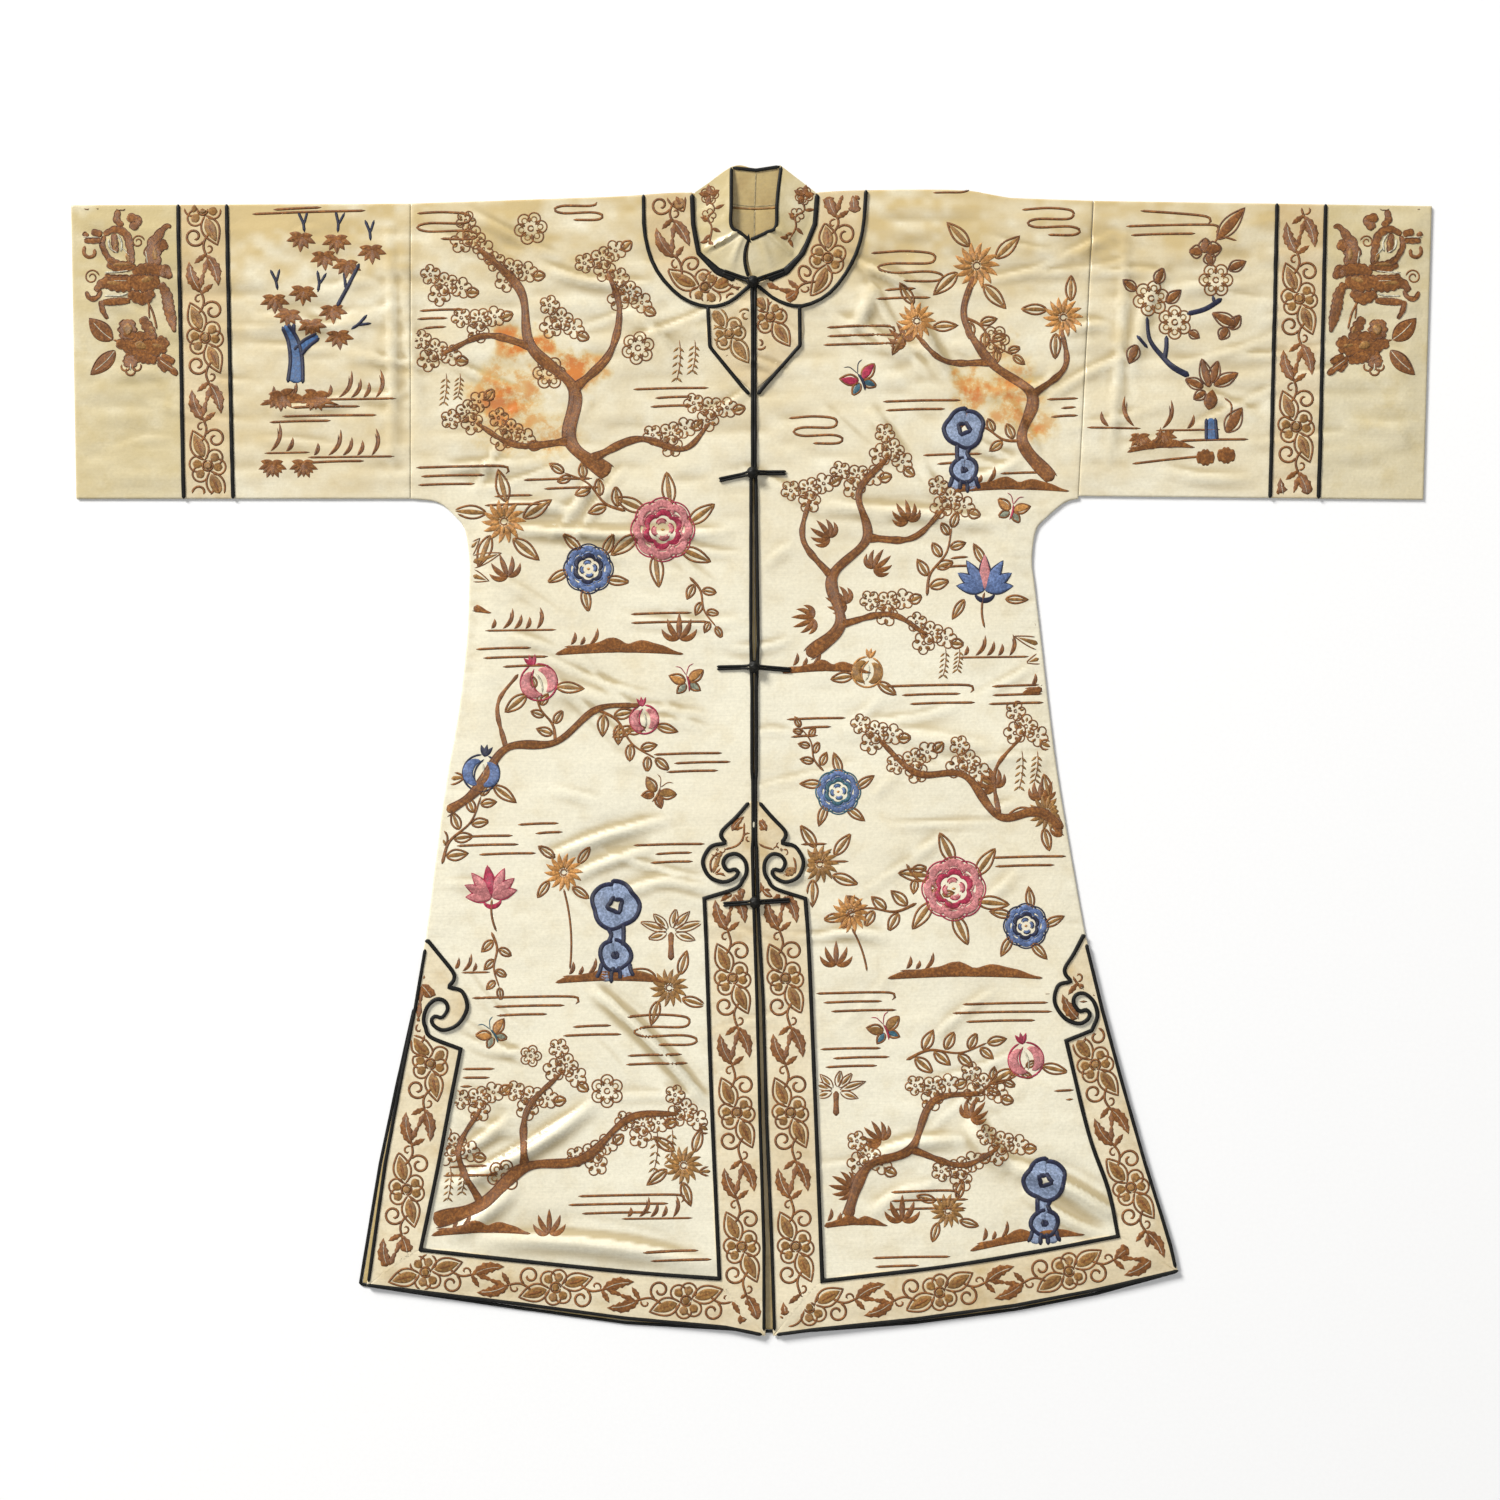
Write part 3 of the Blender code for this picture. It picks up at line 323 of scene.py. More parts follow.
def height_map():
    """Creases, broad waves and seam puckers over the plan, fading to nothing at the silhouette."""
    low = complex(cad_box[0][0], cad_box[0][1]) / MM - (4+4j)
    high = complex(cad_box[1][0], cad_box[1][1]) / MM + (4+4j)
    x, y = np.meshgrid(np.arange(low.real, high.real, MAP_STEP), np.arange(low.imag, high.imag, MAP_STEP))
    points = (x + 1j * y).ravel()
    edge = distance(points, *silhouette())
    fade = np.clip((edge - 1) / 24, 0, 1)
    fade = fade * fade * (3 - 2 * fade)
    px, py = points.real, points.imag
    broad = 0.9 * soft_noise(px / 95, py / 80, 3) + 0.45 * soft_noise(px / 42, py / 30, 4)
    upper = np.clip((py - 180) / 90, 0, 1)
    streaks = (0.35 + 0.75 * upper) * soft_noise(px / 46 + 0.6 * soft_noise(px / 60, py / 60, 8), py / 12, 5)
    pucker = 0.55 * np.exp(-edge / 16) * soft_noise(px / 26, py / 4.6, 6) * (np.abs(px) < 420) * (py < 250)
    seam = np.abs(np.abs(px) - 331) + 400 * (py < 240)
    pucker = pucker + 0.5 * np.exp(-seam / 14) * soft_noise(px / 20, py / 7, 7)
    near_band = np.abs(np.abs(px) - 530) - 24
    pucker = pucker + 0.32 * np.exp(-np.abs(near_band) / 9) * soft_noise(px / 16, py / 6, 9)
    height = fade * (0.9 + broad + streaks + crease_height(points)) + np.clip(edge / 5, 0, 1) * pucker
    height = np.clip(height, -0.25, 8.5).reshape(x.shape)
    for _ in range(SMOOTHING):
        near = np.pad(height, 1, mode="edge")
        height = 0.5 * height + 0.125 * (near[:-2, 1:-1] + near[2:, 1:-1] + near[1:-1, :-2] + near[1:-1, 2:])
    return {"low": low, "height": height}


RELIEF = height_map()


def lay(points):
    """Height of the laid cloth over its base at plan points, blended between the map's four corners."""
    place = (points - RELIEF["low"]) / MAP_STEP
    rows, columns = RELIEF["height"].shape
    x = np.clip(place.real, 0, columns - 1.001)
    y = np.clip(place.imag, 0, rows - 1.001)
    x0, y0 = x.astype(int), y.astype(int)
    fx, fy = x - x0, y - y0
    height = RELIEF["height"]
    low = height[y0, x0] * (1 - fx) + height[y0, x0 + 1] * fx
    return low * (1 - fy) + (height[y0 + 1, x0] * (1 - fx) + height[y0 + 1, x0 + 1] * fx) * fy


# Meshes

def new_piece(name, points, faces, materials, nodes=(), uv=None, index=None, sharp=50):
    """A mesh piece from points in millimetres and arrays of faces, riding on the jacket's body."""
    mesh = bpy.data.meshes.new(name)
    mesh.from_pydata((np.asarray(points) * MM).tolist(), [], [f for part in faces for f in part.tolist()])
    for material in materials:
        mesh.materials.append(material)
    mesh.polygons.foreach_set("use_smooth", np.ones(len(mesh.polygons), bool))
    if index is not None:
        mesh.polygons.foreach_set("material_index", np.asarray(index, np.int32))
    if uv is not None:
        layer = mesh.uv_layers.new(name="length")
        loops = np.empty(len(mesh.loops), np.int32)
        mesh.loops.foreach_get("vertex_index", loops)
        layer.data.foreach_set("uv", np.asarray(uv, np.float32)[loops].ravel())
    mesh.set_sharp_from_angle(angle=math.radians(sharp))
    mesh.update()
    piece = bpy.data.objects.new(name, mesh)
    bpy.context.scene.collection.objects.link(piece)
    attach(piece, "root")
    if nodes:
        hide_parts(*nodes)
    return piece


def triangles(loop, extra):
    """Delaunay triangles of the points inside a closed loop, anticlockwise, as rows of indices."""
    points = np.concatenate([loop, extra])
    made = delaunay_2d_cdt([Vector((p.real, p.imag)) for p in points], [], [list(range(len(loop)))], 1, 1e-5)
    source = np.array([origin[0] for origin in made[3]])
    return source[np.array(made[2])]


def lattice(loop, step, margin):
    """Points of a square lattice inside a closed loop, at least the margin away from it."""
    x = np.arange(loop.real.min() + step / 2, loop.real.max(), step)
    y = np.arange(loop.imag.min() + step / 2, loop.imag.max(), step)
    points = (x[None] + 1j * y[:, None]).ravel()
    points = points[inside(points, loop)]
    return points[distance(points, loop, np.roll(loop, -1)) > margin]


def cloth(outline, levels, step, rim, lifted):
    """Points and faces of a thin piece of cloth. Its upper side is a lattice of plan points lifted by the
    height map, rounded over the rim by a quarter circle; its underside is a coarser lattice."""
    loop = smooth(outline, step, closed=True)
    under, over = levels
    normal = side_steps(loop, closed=True)
    rings = []
    for share in (0.35, 1):
        ring = loop + normal * rim * share
        rings.append(ring[distance(ring, loop, np.roll(loop, -1)) > 0.8 * rim * share])
    upper = np.concatenate([*rings, lattice(loop, step, rim + 0.45 * step)])
    away = distance(upper, loop, np.roll(loop, -1))
    round_off = np.sqrt(1 - (1 - np.clip(away / rim, 0, 1)) ** 2)
    lower = lattice(loop, step * 2.6, step)
    rim_level = under + 0.25 * (over - under)
    heights = [
        rim_level + lifted * lay(loop),
        rim_level + (over - rim_level) * round_off + lifted * lay(upper),
        under + lifted * lay(lower),
    ]
    top = triangles(loop, upper)
    bottom = triangles(loop, lower)[:, ::-1]
    bottom = np.where(bottom >= len(loop), bottom + len(upper), bottom)
    plan = np.concatenate([loop, upper, lower])
    points = np.column_stack([plan.real, plan.imag, np.concatenate(heights)])
    return points, [top, bottom]


def declare_sheet(outline):
    """Works out the outline's width, length and the share of its box that it fills, and keeps none of them.
    """
    width = float(np.ptp(outline.real)) * MM
    length = float(np.ptp(outline.imag)) * MM
    share = area_of(outline) / (width * length)


def make_cloth(node, levels, material, step, rim=1.6, lifted=1, upper=None):
    """The fine piece of cloth that stands for a CAD panel. Its upper side may
    have a material of its own, where that side is the inside of the garment."""
    outline = OUTLINES[node]
    points, faces = cloth(outline, levels, step, rim, lifted)
    materials = [material] if upper is None else [material, upper]
    index = np.repeat([len(materials) - 1, 0], [len(faces[0]), len(faces[1])])
    piece = new_piece("cloth_" + node, points, faces, materials, [node], index=index)
    add_wear_and_painted_shade(piece)
    declare_sheet(outline)
    return piece


def tube(path, half_width, low, high, around=10):
    """A rounded profile carried along a plan path. The profile is a flattened circle, and the rings of
    both ends shrink, so that the piping closes softly. Returns points, faces and a map of its length."""
    steps = side_steps(path)
    angle = np.arange(around) * 2 * np.pi / around
    bulge = np.sign(np.cos(angle)) * np.abs(np.cos(angle)) ** 0.8
    run = gone_along(path)
    ends = np.clip(np.minimum(run, run[-1] - run) / 1.2, 0, 1)
    ends = 0.35 + 0.65 * np.sqrt(1 - (1 - ends) ** 2)
    across = path[:, None] + steps[:, None] * (half_width * ends)[:, None] * bulge
    middle, tall = ((low + high) / 2)[:, None], ((high - low) / 2 * ends)[:, None]
    points = np.stack([across.real, across.imag, middle + tall * np.sin(angle)], axis=2).reshape(-1, 3)
    count = len(path)
    ring = np.arange(around)
    base = (np.arange(count - 1) * around)[:, None]
    here, there = base + ring, base + (ring + 1) % around
    quads = np.stack([here, there, there + around, here + around], axis=2).reshape(-1, 4)
    caps = np.stack([ring[::-1], ring + (count - 1) * around])
    uv = np.column_stack([np.repeat(run, around), np.tile(angle / (2 * np.pi) * 12, count)])
    return points, [quads, caps], uv


# Materials

def node(tree, kind, sockets=None, **settings):
    """Adds a shader node, sets its options, and fills its sockets with values or with links from sockets."""
    made = tree.nodes.new("ShaderNode" + kind)
    for option, value in settings.items():
        setattr(made, option, value)
    for socket, value in (sockets or {}).items():
        if isinstance(value, bpy.types.NodeSocket):
            tree.links.new(value, made.inputs[socket])
        else:
            made.inputs[socket].default_value = value
    return made


def wire(tree, target, links):
    """Links sockets into the named inputs of a node."""
    for socket, source in links.items():
        tree.links.new(source, target.inputs[socket])


def sum_of(tree, operation, first, second, clamp=False):
    """Output of a Math node on two values or sockets."""
    made = node(tree, "Math", {0: first, 1: second}, operation=operation, use_clamp=clamp)
    return made.outputs[0]


def blend_of(tree, share, first, second, blend="MIX"):
    """Output of a colour mix by a share."""
    made = node(tree, "Mix", {0: share, 6: first, 7: second}, data_type="RGBA", blend_type=blend)
    return made.outputs[2]


def noise_of(tree, vector, scale, detail=2, rough=0.5):
    """Output of a Noise texture, from 0 to 1 with its middle at 0.5."""
    sockets = {"Vector": vector, "Scale": scale, "Detail": detail, "Roughness": rough}
    return node(tree, "TexNoise", sockets).outputs["Fac"]


def spread_of(tree, value, low, high, to_low=0, to_high=1):
    """A value mapped from one range onto another and kept inside it."""
    sockets = {0: value, 1: low, 2: high, 3: to_low, 4: to_high}
    return node(tree, "MapRange", sockets, clamp=True).outputs[0]


def place_in(tree):
    """The piece's own coordinates in metres."""
    return node(tree, "TexCoord").outputs["Object"]


def bump_of(tree, height, strength=1):
    """Normal of a surface with a height in metres."""
    return node(tree, "Bump", {"Strength": strength, "Distance": 1, "Height": height}).outputs[0]


def new_group(name, inputs, outputs):
    """A shader node group with the named sockets; returns the group, its input node and its output node."""
    group = bpy.data.node_groups.new(name, "ShaderNodeTree")
    for kind, sockets in (("INPUT", inputs), ("OUTPUT", outputs)):
        for socket, form in sockets:
            group.interface.new_socket(socket, in_out=kind, socket_type=form)
    return group, group.nodes.new("NodeGroupInput"), group.nodes.new("NodeGroupOutput")


FLOAT, COLOR, VECTOR = "NodeSocketFloat", "NodeSocketColor", "NodeSocketVector"


def silk_group():
    """Silk satin: slow toning from age, fine slubs and the float of the weave, and a soft crinkle."""
    group, given, out = new_group(
        "silk_ground",
        (("Silk", COLOR), ("Aged", COLOR), ("Toning", FLOAT), ("Crinkle", FLOAT)),
        (("Color", COLOR), ("Roughness", FLOAT), ("Normal", VECTOR)),
    )
    place = place_in(group)
    floats = node(group, "Mapping", {"Vector": place, "Scale": (260, 2400, 260)}).outputs[0]
    slubs = node(group, "Mapping", {"Vector": place, "Scale": (22, 700, 22)}).outputs[0]
    age = spread_of(group, noise_of(group, place, 5, 4, 0.6), 0.42, 0.68)
    blotch = spread_of(group, noise_of(group, place, 38, 3, 0.6), 0.5, 0.75)
    toning = sum_of(group, "MULTIPLY", sum_of(group, "ADD", age, blotch), given.outputs["Toning"], True)
    color = blend_of(group, toning, given.outputs["Silk"], given.outputs["Aged"])
    slub = spread_of(group, noise_of(group, slubs, 1, 1), 0.25, 0.75, 0.97, 1.03)
    fleck = spread_of(group, noise_of(group, place, 330, 2, 0.6), 0.3, 0.7, 0.94, 1.06)
    slub = sum_of(group, "MULTIPLY", slub, fleck)
    grey = node(group, "CombineColor", {0: slub, 1: slub, 2: slub}).outputs[0]
    color = blend_of(group, 1, color, grey, "MULTIPLY")
    weave = noise_of(group, floats, 1, 1)
    grain = sum_of(group, "MULTIPLY", noise_of(group, place, 430, 2, 0.5), 0.4)
    crinkle = sum_of(group, "ADD", noise_of(group, place, 130, 3, 0.55), grain)
    crinkle = sum_of(group, "MULTIPLY", crinkle, given.outputs["Crinkle"])
    height = sum_of(group, "ADD", sum_of(group, "MULTIPLY", weave, 0.0001), crinkle)
    bump = bump_of(group, height)
    rough = spread_of(group, blotch, 0, 1, 0.30, 0.42)
    wire(group, out, {"Color": color, "Roughness": rough, "Normal": bump})
    return group


def thread_group():
    """Thread laid along a piece: twisted strands whose ridges run aslant over its length map."""
    group, given, out = new_group(
        "thread_twist",
        (("Thread", COLOR), ("Dark", COLOR), ("Light", COLOR), ("Pitch", FLOAT)),
        (("Color", COLOR), ("Roughness", FLOAT), ("Normal", VECTOR)),
    )
    uv = node(group, "UVMap", uv_map="length").outputs[0]
    place = place_in(group)
    parts = node(group, "SeparateXYZ", {0: uv})
    slant = sum_of(group, "ADD", parts.outputs[0], sum_of(group, "MULTIPLY", parts.outputs[1], 0.9))
    turn = sum_of(group, "DIVIDE", slant, given.outputs["Pitch"])
    turn = sum_of(group, "MULTIPLY", turn, 2 * math.pi)
    wave = node(group, "Math", {0: turn}, operation="SINE").outputs[0]
    fleck = noise_of(group, place, 420, 3, 0.7)
    patch = noise_of(group, place, 70, 2, 0.6)
    # painted shade: the colour is darker in the grooves between the twisted strands
    between = spread_of(group, wave, -1, 0.4, 0.3, 0)
    dark = sum_of(group, "ADD", between, spread_of(group, fleck, 0.38, 0.6, 0.75, 0))
    dark = sum_of(group, "ADD", dark, spread_of(group, patch, 0.4, 0.65, 0, 0.4), True)
    # lighter patches at random: the thread's uneven colour and painted highlights of its sheen
    light = spread_of(group, noise_of(group, place, 210, 3, 0.7), 0.48, 0.66, 0, 0.8)
    color = blend_of(group, light, given.outputs["Thread"], given.outputs["Light"])
    color = blend_of(group, dark, color, given.outputs["Dark"])
    height = sum_of(group, "MULTIPLY", sum_of(group, "ADD", wave, fleck), 0.00012)
    bump = bump_of(group, height, 0.8)
    rough = spread_of(group, fleck, 0.3, 0.7, 0.42, 0.6)
    wire(group, out, {"Color": color, "Roughness": rough, "Normal": bump})
    return group


GROUPS = {}


def group_node(tree, name, builder, sockets):
    """A node of a shared group, which is built the first time that a material asks for it."""
    if name not in GROUPS:
        GROUPS[name] = builder()
    made = node(tree, "Group", node_tree=GROUPS[name])
    for socket, value in sockets.items():
        made.inputs[socket].default_value = value
    return made


def rgba(color, strength=1):
    """A colour with full cover, made darker or lighter by the strength."""
    return (*(min(c * strength, 1) for c in color), 1)


def new_material(name, color):
    """A material with its node tree, its Principled shader and a plain colour for the viewport."""
    material = bpy.data.materials.new(name)
    material.use_nodes = True
    material.diffuse_color = rgba(color)
    return material, material.node_tree, material.node_tree.nodes["Principled BSDF"]


def silk_material(name, silk, aged, stain=None, toning=0.22, crinkle=0.00028):
    """Silk satin with its toning, and with the stains, toning and painted crease shade of the cloth's points
    where it has any.
    """
    material, tree, shader = new_material(name, silk)
    sockets = {"Silk": rgba(silk), "Aged": rgba(aged), "Toning": toning, "Crinkle": crinkle}
    ground = group_node(tree, "silk_ground", silk_group, sockets)
    color = ground.outputs["Color"]
    if stain:
        place = place_in(tree)
        # the cloth points' stain, toning and painted crease shade
        worn = node(tree, "Attribute", attribute_name="wear").outputs[0]
        wear = node(tree, "SeparateColor", {0: worn})
        color = blend_of(tree, wear.outputs[1], color, rgba(aged))
        # painted shade: darker in the creases' troughs, towards a darker copy of the aged colour
        color = blend_of(tree, wear.outputs[2], color, rgba(aged, 0.72))
        ragged = spread_of(tree, noise_of(tree, place, 90, 4, 0.7), 0.38, 0.6, 0.35, 1)
        soaked = sum_of(tree, "MULTIPLY", wear.outputs[0], ragged)
        color = blend_of(tree, spread_of(tree, soaked, 0.04, 0.4, 0, 0.8), color, rgba((0.64, 0.44, 0.13)))
        color = blend_of(tree, spread_of(tree, soaked, 0.22, 0.66, 0, 1), color, rgba(stain))
    rough, normal = ground.outputs["Roughness"], ground.outputs["Normal"]
    wire(tree, shader, {"Base Color": color, "Roughness": rough, "Normal": normal})
    shader.inputs["Sheen Weight"].default_value = 0.12
    shader.inputs["Sheen Roughness"].default_value = 0.45
    return material


def thread_material(name, thread, pitch=1.3):
    """Silk thread of one colour, with painted shade between its strands, darker flecks, and lighter patches
    that are its uneven colour and painted highlights.
    """
    material, tree, shader = new_material(name, thread)
    # a lighter copy of the thread for its painted highlights, and a darker one for painted shade between
    # strands and for flecks
    light = rgba([c**0.86 * 1.25 for c in thread])
    sockets = {"Thread": rgba(thread), "Dark": rgba(thread, 0.46), "Light": light, "Pitch": pitch}
    twist = group_node(tree, "thread_twist", thread_group, sockets)
    color, rough, normal = (twist.outputs[socket] for socket in ("Color", "Roughness", "Normal"))
    wire(tree, shader, {"Base Color": color, "Roughness": rough, "Normal": normal})
    shader.inputs["Sheen Weight"].default_value = 0.1
    return material


def binding_material(name, black):
    """Black satin cut on the bias: a fine slanting twill, small pulls across it and a little dust."""
    material, tree, shader = new_material(name, black)
    uv = node(tree, "UVMap", uv_map="length").outputs[0]
    place = place_in(tree)
    pulls = node(tree, "Mapping", {"Vector": uv, "Scale": (0.45, 0.08, 1)}).outputs[0]
    pull = noise_of(tree, pulls, 1, 3, 0.6)
    dust = spread_of(tree, noise_of(tree, place, 160, 4, 0.7), 0.52, 0.8, 0, 0.35)
    color = blend_of(tree, dust, rgba(black), rgba((0.05, 0.046, 0.036)))
    weave = noise_of(tree, place, 1500, 1)
    height = sum_of(tree, "MULTIPLY", pull, 0.0005)
    height = sum_of(tree, "ADD", height, sum_of(tree, "MULTIPLY", weave, 0.0001))
    bump = bump_of(tree, height, 0.6)
    rough = spread_of(tree, pull, 0.3, 0.7, 0.42, 0.62)
    wire(tree, shader, {"Base Color": color, "Roughness": rough, "Normal": bump})
    shader.inputs["Specular IOR Level"].default_value = 0.22
    return material


def tint(name, description, *default):
    """A colour setting."""
    return FloatVectorProperty(name=name, description=description, subtype="COLOR", default=default)


class SilkColors(bpy.types.PropertyGroup):
    """Colours of the silks and of the black satin."""

    satin: tint("Satin", "Cream ground", 0.83, 0.78, 0.61)
    satin_aged: tint("Aged satin", "Toned cream", 0.60, 0.46, 0.22)
    stain: tint("Stain", "Amber stains", 0.60, 0.195, 0.035)
    band: tint("Band silk", "Tan bands", 0.78, 0.685, 0.48)
    band_aged: tint("Aged band silk", "Toned tan", 0.60, 0.45, 0.23)
    cuff: tint("Cuff silk", "Khaki cuffs", 0.72, 0.65, 0.46)
    cuff_aged: tint("Aged cuff silk", "Toned khaki", 0.58, 0.47, 0.24)
    lining: tint("Lining", "Inside of the collar", 0.50, 0.38, 0.165)
    black: tint("Black", "Bindings and frogs", 0.007, 0.007, 0.006)


class ThreadColors(bpy.types.PropertyGroup):
    """Colours of the embroidery threads."""

    brown: tint("Brown", "Main thread", 0.315, 0.108, 0.016)
    tan: tint("Tan", "Light fills", 0.42, 0.20, 0.045)
    dark: tint("Dark brown", "Accents", 0.22, 0.085, 0.032)
    cream: tint("Cream", "Pale ribs", 0.80, 0.74, 0.55)
    blue: tint("Blue", "Blue fills", 0.14, 0.22, 0.46)
    pale_blue: tint("Pale blue", "Stones", 0.34, 0.43, 0.63)
    denim: tint("Denim", "Blue trunks", 0.055, 0.15, 0.36)
    navy: tint("Navy", "Dark blue lines", 0.012, 0.015, 0.055)
    crimson: tint("Crimson", "Crimson lines", 0.52, 0.022, 0.075)
    pink: tint("Pink", "Pink fills", 0.80, 0.27, 0.27)
    orange: tint("Orange", "Orange thread", 0.72, 0.32, 0.075)
    teal: tint("Teal", "Teal thread", 0.05, 0.16, 0.22)
    lining: tint("Seam thread", "Seams of the lining", 0.48, 0.38, 0.19)
    sage: tint("Sage", "Grey green thread", 0.33, 0.36, 0.25)


class ClothSizes(bpy.types.PropertyGroup):
    """Sizes of the cloth pieces in millimetres."""

    step: FloatProperty(name="Lattice", description="Spacing of points", default=2.7, min=1.5, max=10)
    rim: FloatProperty(name="Rim", description="Rounding of a panel's edge", default=1.6, min=0.3, max=5)


class StageSizes(bpy.types.PropertyGroup):
    """Camera, floor and lights."""

    frame_width: FloatProperty(name="Frame", description="Width seen", default=1.455, unit="LENGTH")
    lens: FloatProperty(name="Lens", description="Focal length in millimetres", default=85, min=10)
    floor: FloatProperty(name="Floor", description="Side of the floor", default=9, unit="LENGTH")
    ambient: FloatProperty(name="Ambient", description="Light from all around", default=0.27, min=0)
    key: FloatProperty(name="Key light", description="Power of the key light", default=2600, unit="POWER")
    fill: FloatProperty(name="Fill light", description="Power of the fill light", default=44, unit="POWER")


SENSOR = 36  # width of the camera's film in millimetres
FRAME_CENTRE = (-0.001455, 0.000485)
FLOOR_GAP = 0.0003  # the floor lies this much below the jacket
FAR = 50  # far limit of the camera's view in metres
MATERIALS = {}


def material(name):
    """One of the jacket's materials, made from the panel's colours on first use."""
    c = bpy.context.scene.jacket_colors
    makers = {
        "satin": lambda: silk_material("silk_satin", c.satin, c.satin_aged, c.stain),
        "satin_plain": lambda: silk_material("silk_satin_plain", c.satin, c.satin_aged),
        "band": lambda: silk_material("silk_band", c.band, c.band_aged, c.stain, 0.6, 0.0003),
        "cuff": lambda: silk_material("silk_cuff", c.cuff, c.cuff_aged, c.stain, 0.6, 0.0003),
        "lining": lambda: silk_material("silk_lining", c.lining, (0.38, 0.26, 0.10), None, 0.8, 0.0004),
        "black": lambda: binding_material("satin_binding", c.black),
    }
    if name not in MATERIALS:
        thread = getattr(bpy.context.scene.jacket_threads, name.removeprefix("thread_"), None)
        MATERIALS[name] = makers[name]() if name in makers else thread_material(name, thread)
    return MATERIALS[name]


def area_light(name, place, aim, size, power, color):
    """A square area light that looks at a point."""
    lamp = bpy.data.lights.new(name, "AREA")
    lamp.size = size
    lamp.energy = power
    lamp.color = color
    made = bpy.data.objects.new(name, lamp)
    made.location = place
    made.rotation_euler = (Vector(aim) - Vector(place)).to_track_quat("-Z", "Y").to_euler()
    bpy.context.scene.collection.objects.link(made)


class JACKET_OT_stage(bpy.types.Operator):
    """Pale floor, soft studio light and the camera straight above the jacket"""

    bl_idname = "jacket.stage"
    bl_label = "Stage"

    def execute(self, context):
        sizes = context.scene.jacket_stage
        camera = bpy.data.cameras.new("camera")
        camera.lens = sizes.lens
        camera.sensor_width = SENSOR
        camera.clip_end = FAR
        holder = bpy.data.objects.new("camera", camera)
        holder.location = (*FRAME_CENTRE, sizes.frame_width * sizes.lens / SENSOR)
        context.scene.collection.objects.link(holder)
        context.scene.camera = holder
        half = sizes.floor / 2
        mesh = bpy.data.meshes.new("floor")
        corners = ((-half, -half), (half, -half), (half, half), (-half, half))
        mesh.from_pydata([(x, y, -FLOOR_GAP) for x, y in corners], [], [(0, 1, 2, 3)])
        paper, tree, shader = new_material("paper", (0.93, 0.93, 0.93))
        grain = noise_of(tree, place_in(tree), 300)
        value = spread_of(tree, grain, 0.2, 0.8, 0.92, 0.94)
        grey = node(tree, "CombineColor", {0: value, 1: value, 2: value}).outputs[0]
        tree.links.new(grey, shader.inputs["Base Color"])
        shader.inputs["Roughness"].default_value = 0.95
        mesh.materials.append(paper)
        floor = bpy.data.objects.new("floor", mesh)
        context.scene.collection.objects.link(floor)
        world = bpy.data.worlds.new("studio")
        world.use_nodes = True
        world.node_tree.nodes["Background"].inputs["Color"].default_value = (1, 1, 1, 1)
        world.node_tree.nodes["Background"].inputs["Strength"].default_value = sizes.ambient
        context.scene.world = world
        area_light("key", (-8, 8.8, 6.9), (0, -0.05, 0), 4, sizes.key, (1, 0.99, 0.97))
        area_light("fill", (0.4, -0.5, 4.8), (0, 0, 0), 3, sizes.fill, (0.97, 0.985, 1))
        context.scene.view_settings.view_transform = "Standard"
        return {"FINISHED"}


# Stains: place, reach and strength
STAINS = (
    (-240, 336, 42, 0.8), (-229, 392, 24, 0.85), (-206, 395, 16, 0.95), (-166, 369, 22, 0.95),
    (-192, 306, 26, 0.5), (-214, 360, 30, 0.4), (252, 346, 36, 0.6), (215, 352, 24, 0.8),
    (238, 392, 18, 0.6), (268, 318, 24, 0.6),
)


def wear_and_painted_shade_of(points):
    """Stain, toning and painted crease shade of cloth points. A stain fades from its middle; the toning is
    stronger over the shoulders and sleeves; the painted shade is where the height map lies below its
    surroundings."""
    px, py = points.real, points.imag
    wobble = 9 * soft_noise(px / 14, py / 14, 11) + 5 * soft_noise(px / 6, py / 6, 12)
    stain = np.zeros(len(points))
    for x, y, reach, strength in STAINS:
        away = np.abs(points - complex(x, y)) + wobble
        stain = np.maximum(stain, strength * np.clip(1.25 - away / reach, 0, 1))
    top = np.clip((py - 430) / 70, 0, 1)
    sleeve = np.clip((np.abs(px) - 290) / 60, 0, 1) * (py > 200)
    tone = 0.5 * top + 0.12 * sleeve + 0.28 * np.clip((py - 120) / 200, 0, 1) + 0.14 * (px < -553)
    tone = tone * (1 - 0.4 * np.clip((px - 250) / 200, 0, 1))
    mottled = 0.5 * soft_noise(px / 60, py / 40, 13) + 0.5 * soft_noise(px / 24, py / 16, 16)
    tone = tone * (1 + mottled + 0.35 * soft_noise(px / 9, py / 7, 18)) + 0.03
    # painted shade: the deeper the cloth lies below its surroundings, the darker its colour is made in the
    # creases
    around = [lay(points + 6 * np.exp(1j * k * np.pi / 4)) for k in range(8)]
    painted_crease_shade = np.clip((np.mean(around, axis=0) - lay(points) - 0.06) * 1.5, 0, 0.8)
    return np.clip(np.column_stack([stain, tone, painted_crease_shade, np.ones(len(points))]), 0, 1)


def add_wear_and_painted_shade(piece):
    """Stores the stain, toning and painted crease shade on a cloth piece's points."""
    mesh = piece.data
    points = np.empty(len(mesh.vertices) * 3)
    mesh.vertices.foreach_get("co", points)
    points = points.reshape(-1, 3) / MM
    # attribute of stain, toning and painted shade in the creases, with full cover
    layer = mesh.attributes.new("wear", "FLOAT_COLOR", "POINT")
    layer.data.foreach_set("color", wear_and_painted_shade_of(points[:, 0] + 1j * points[:, 1]).astype(np.float32).ravel())


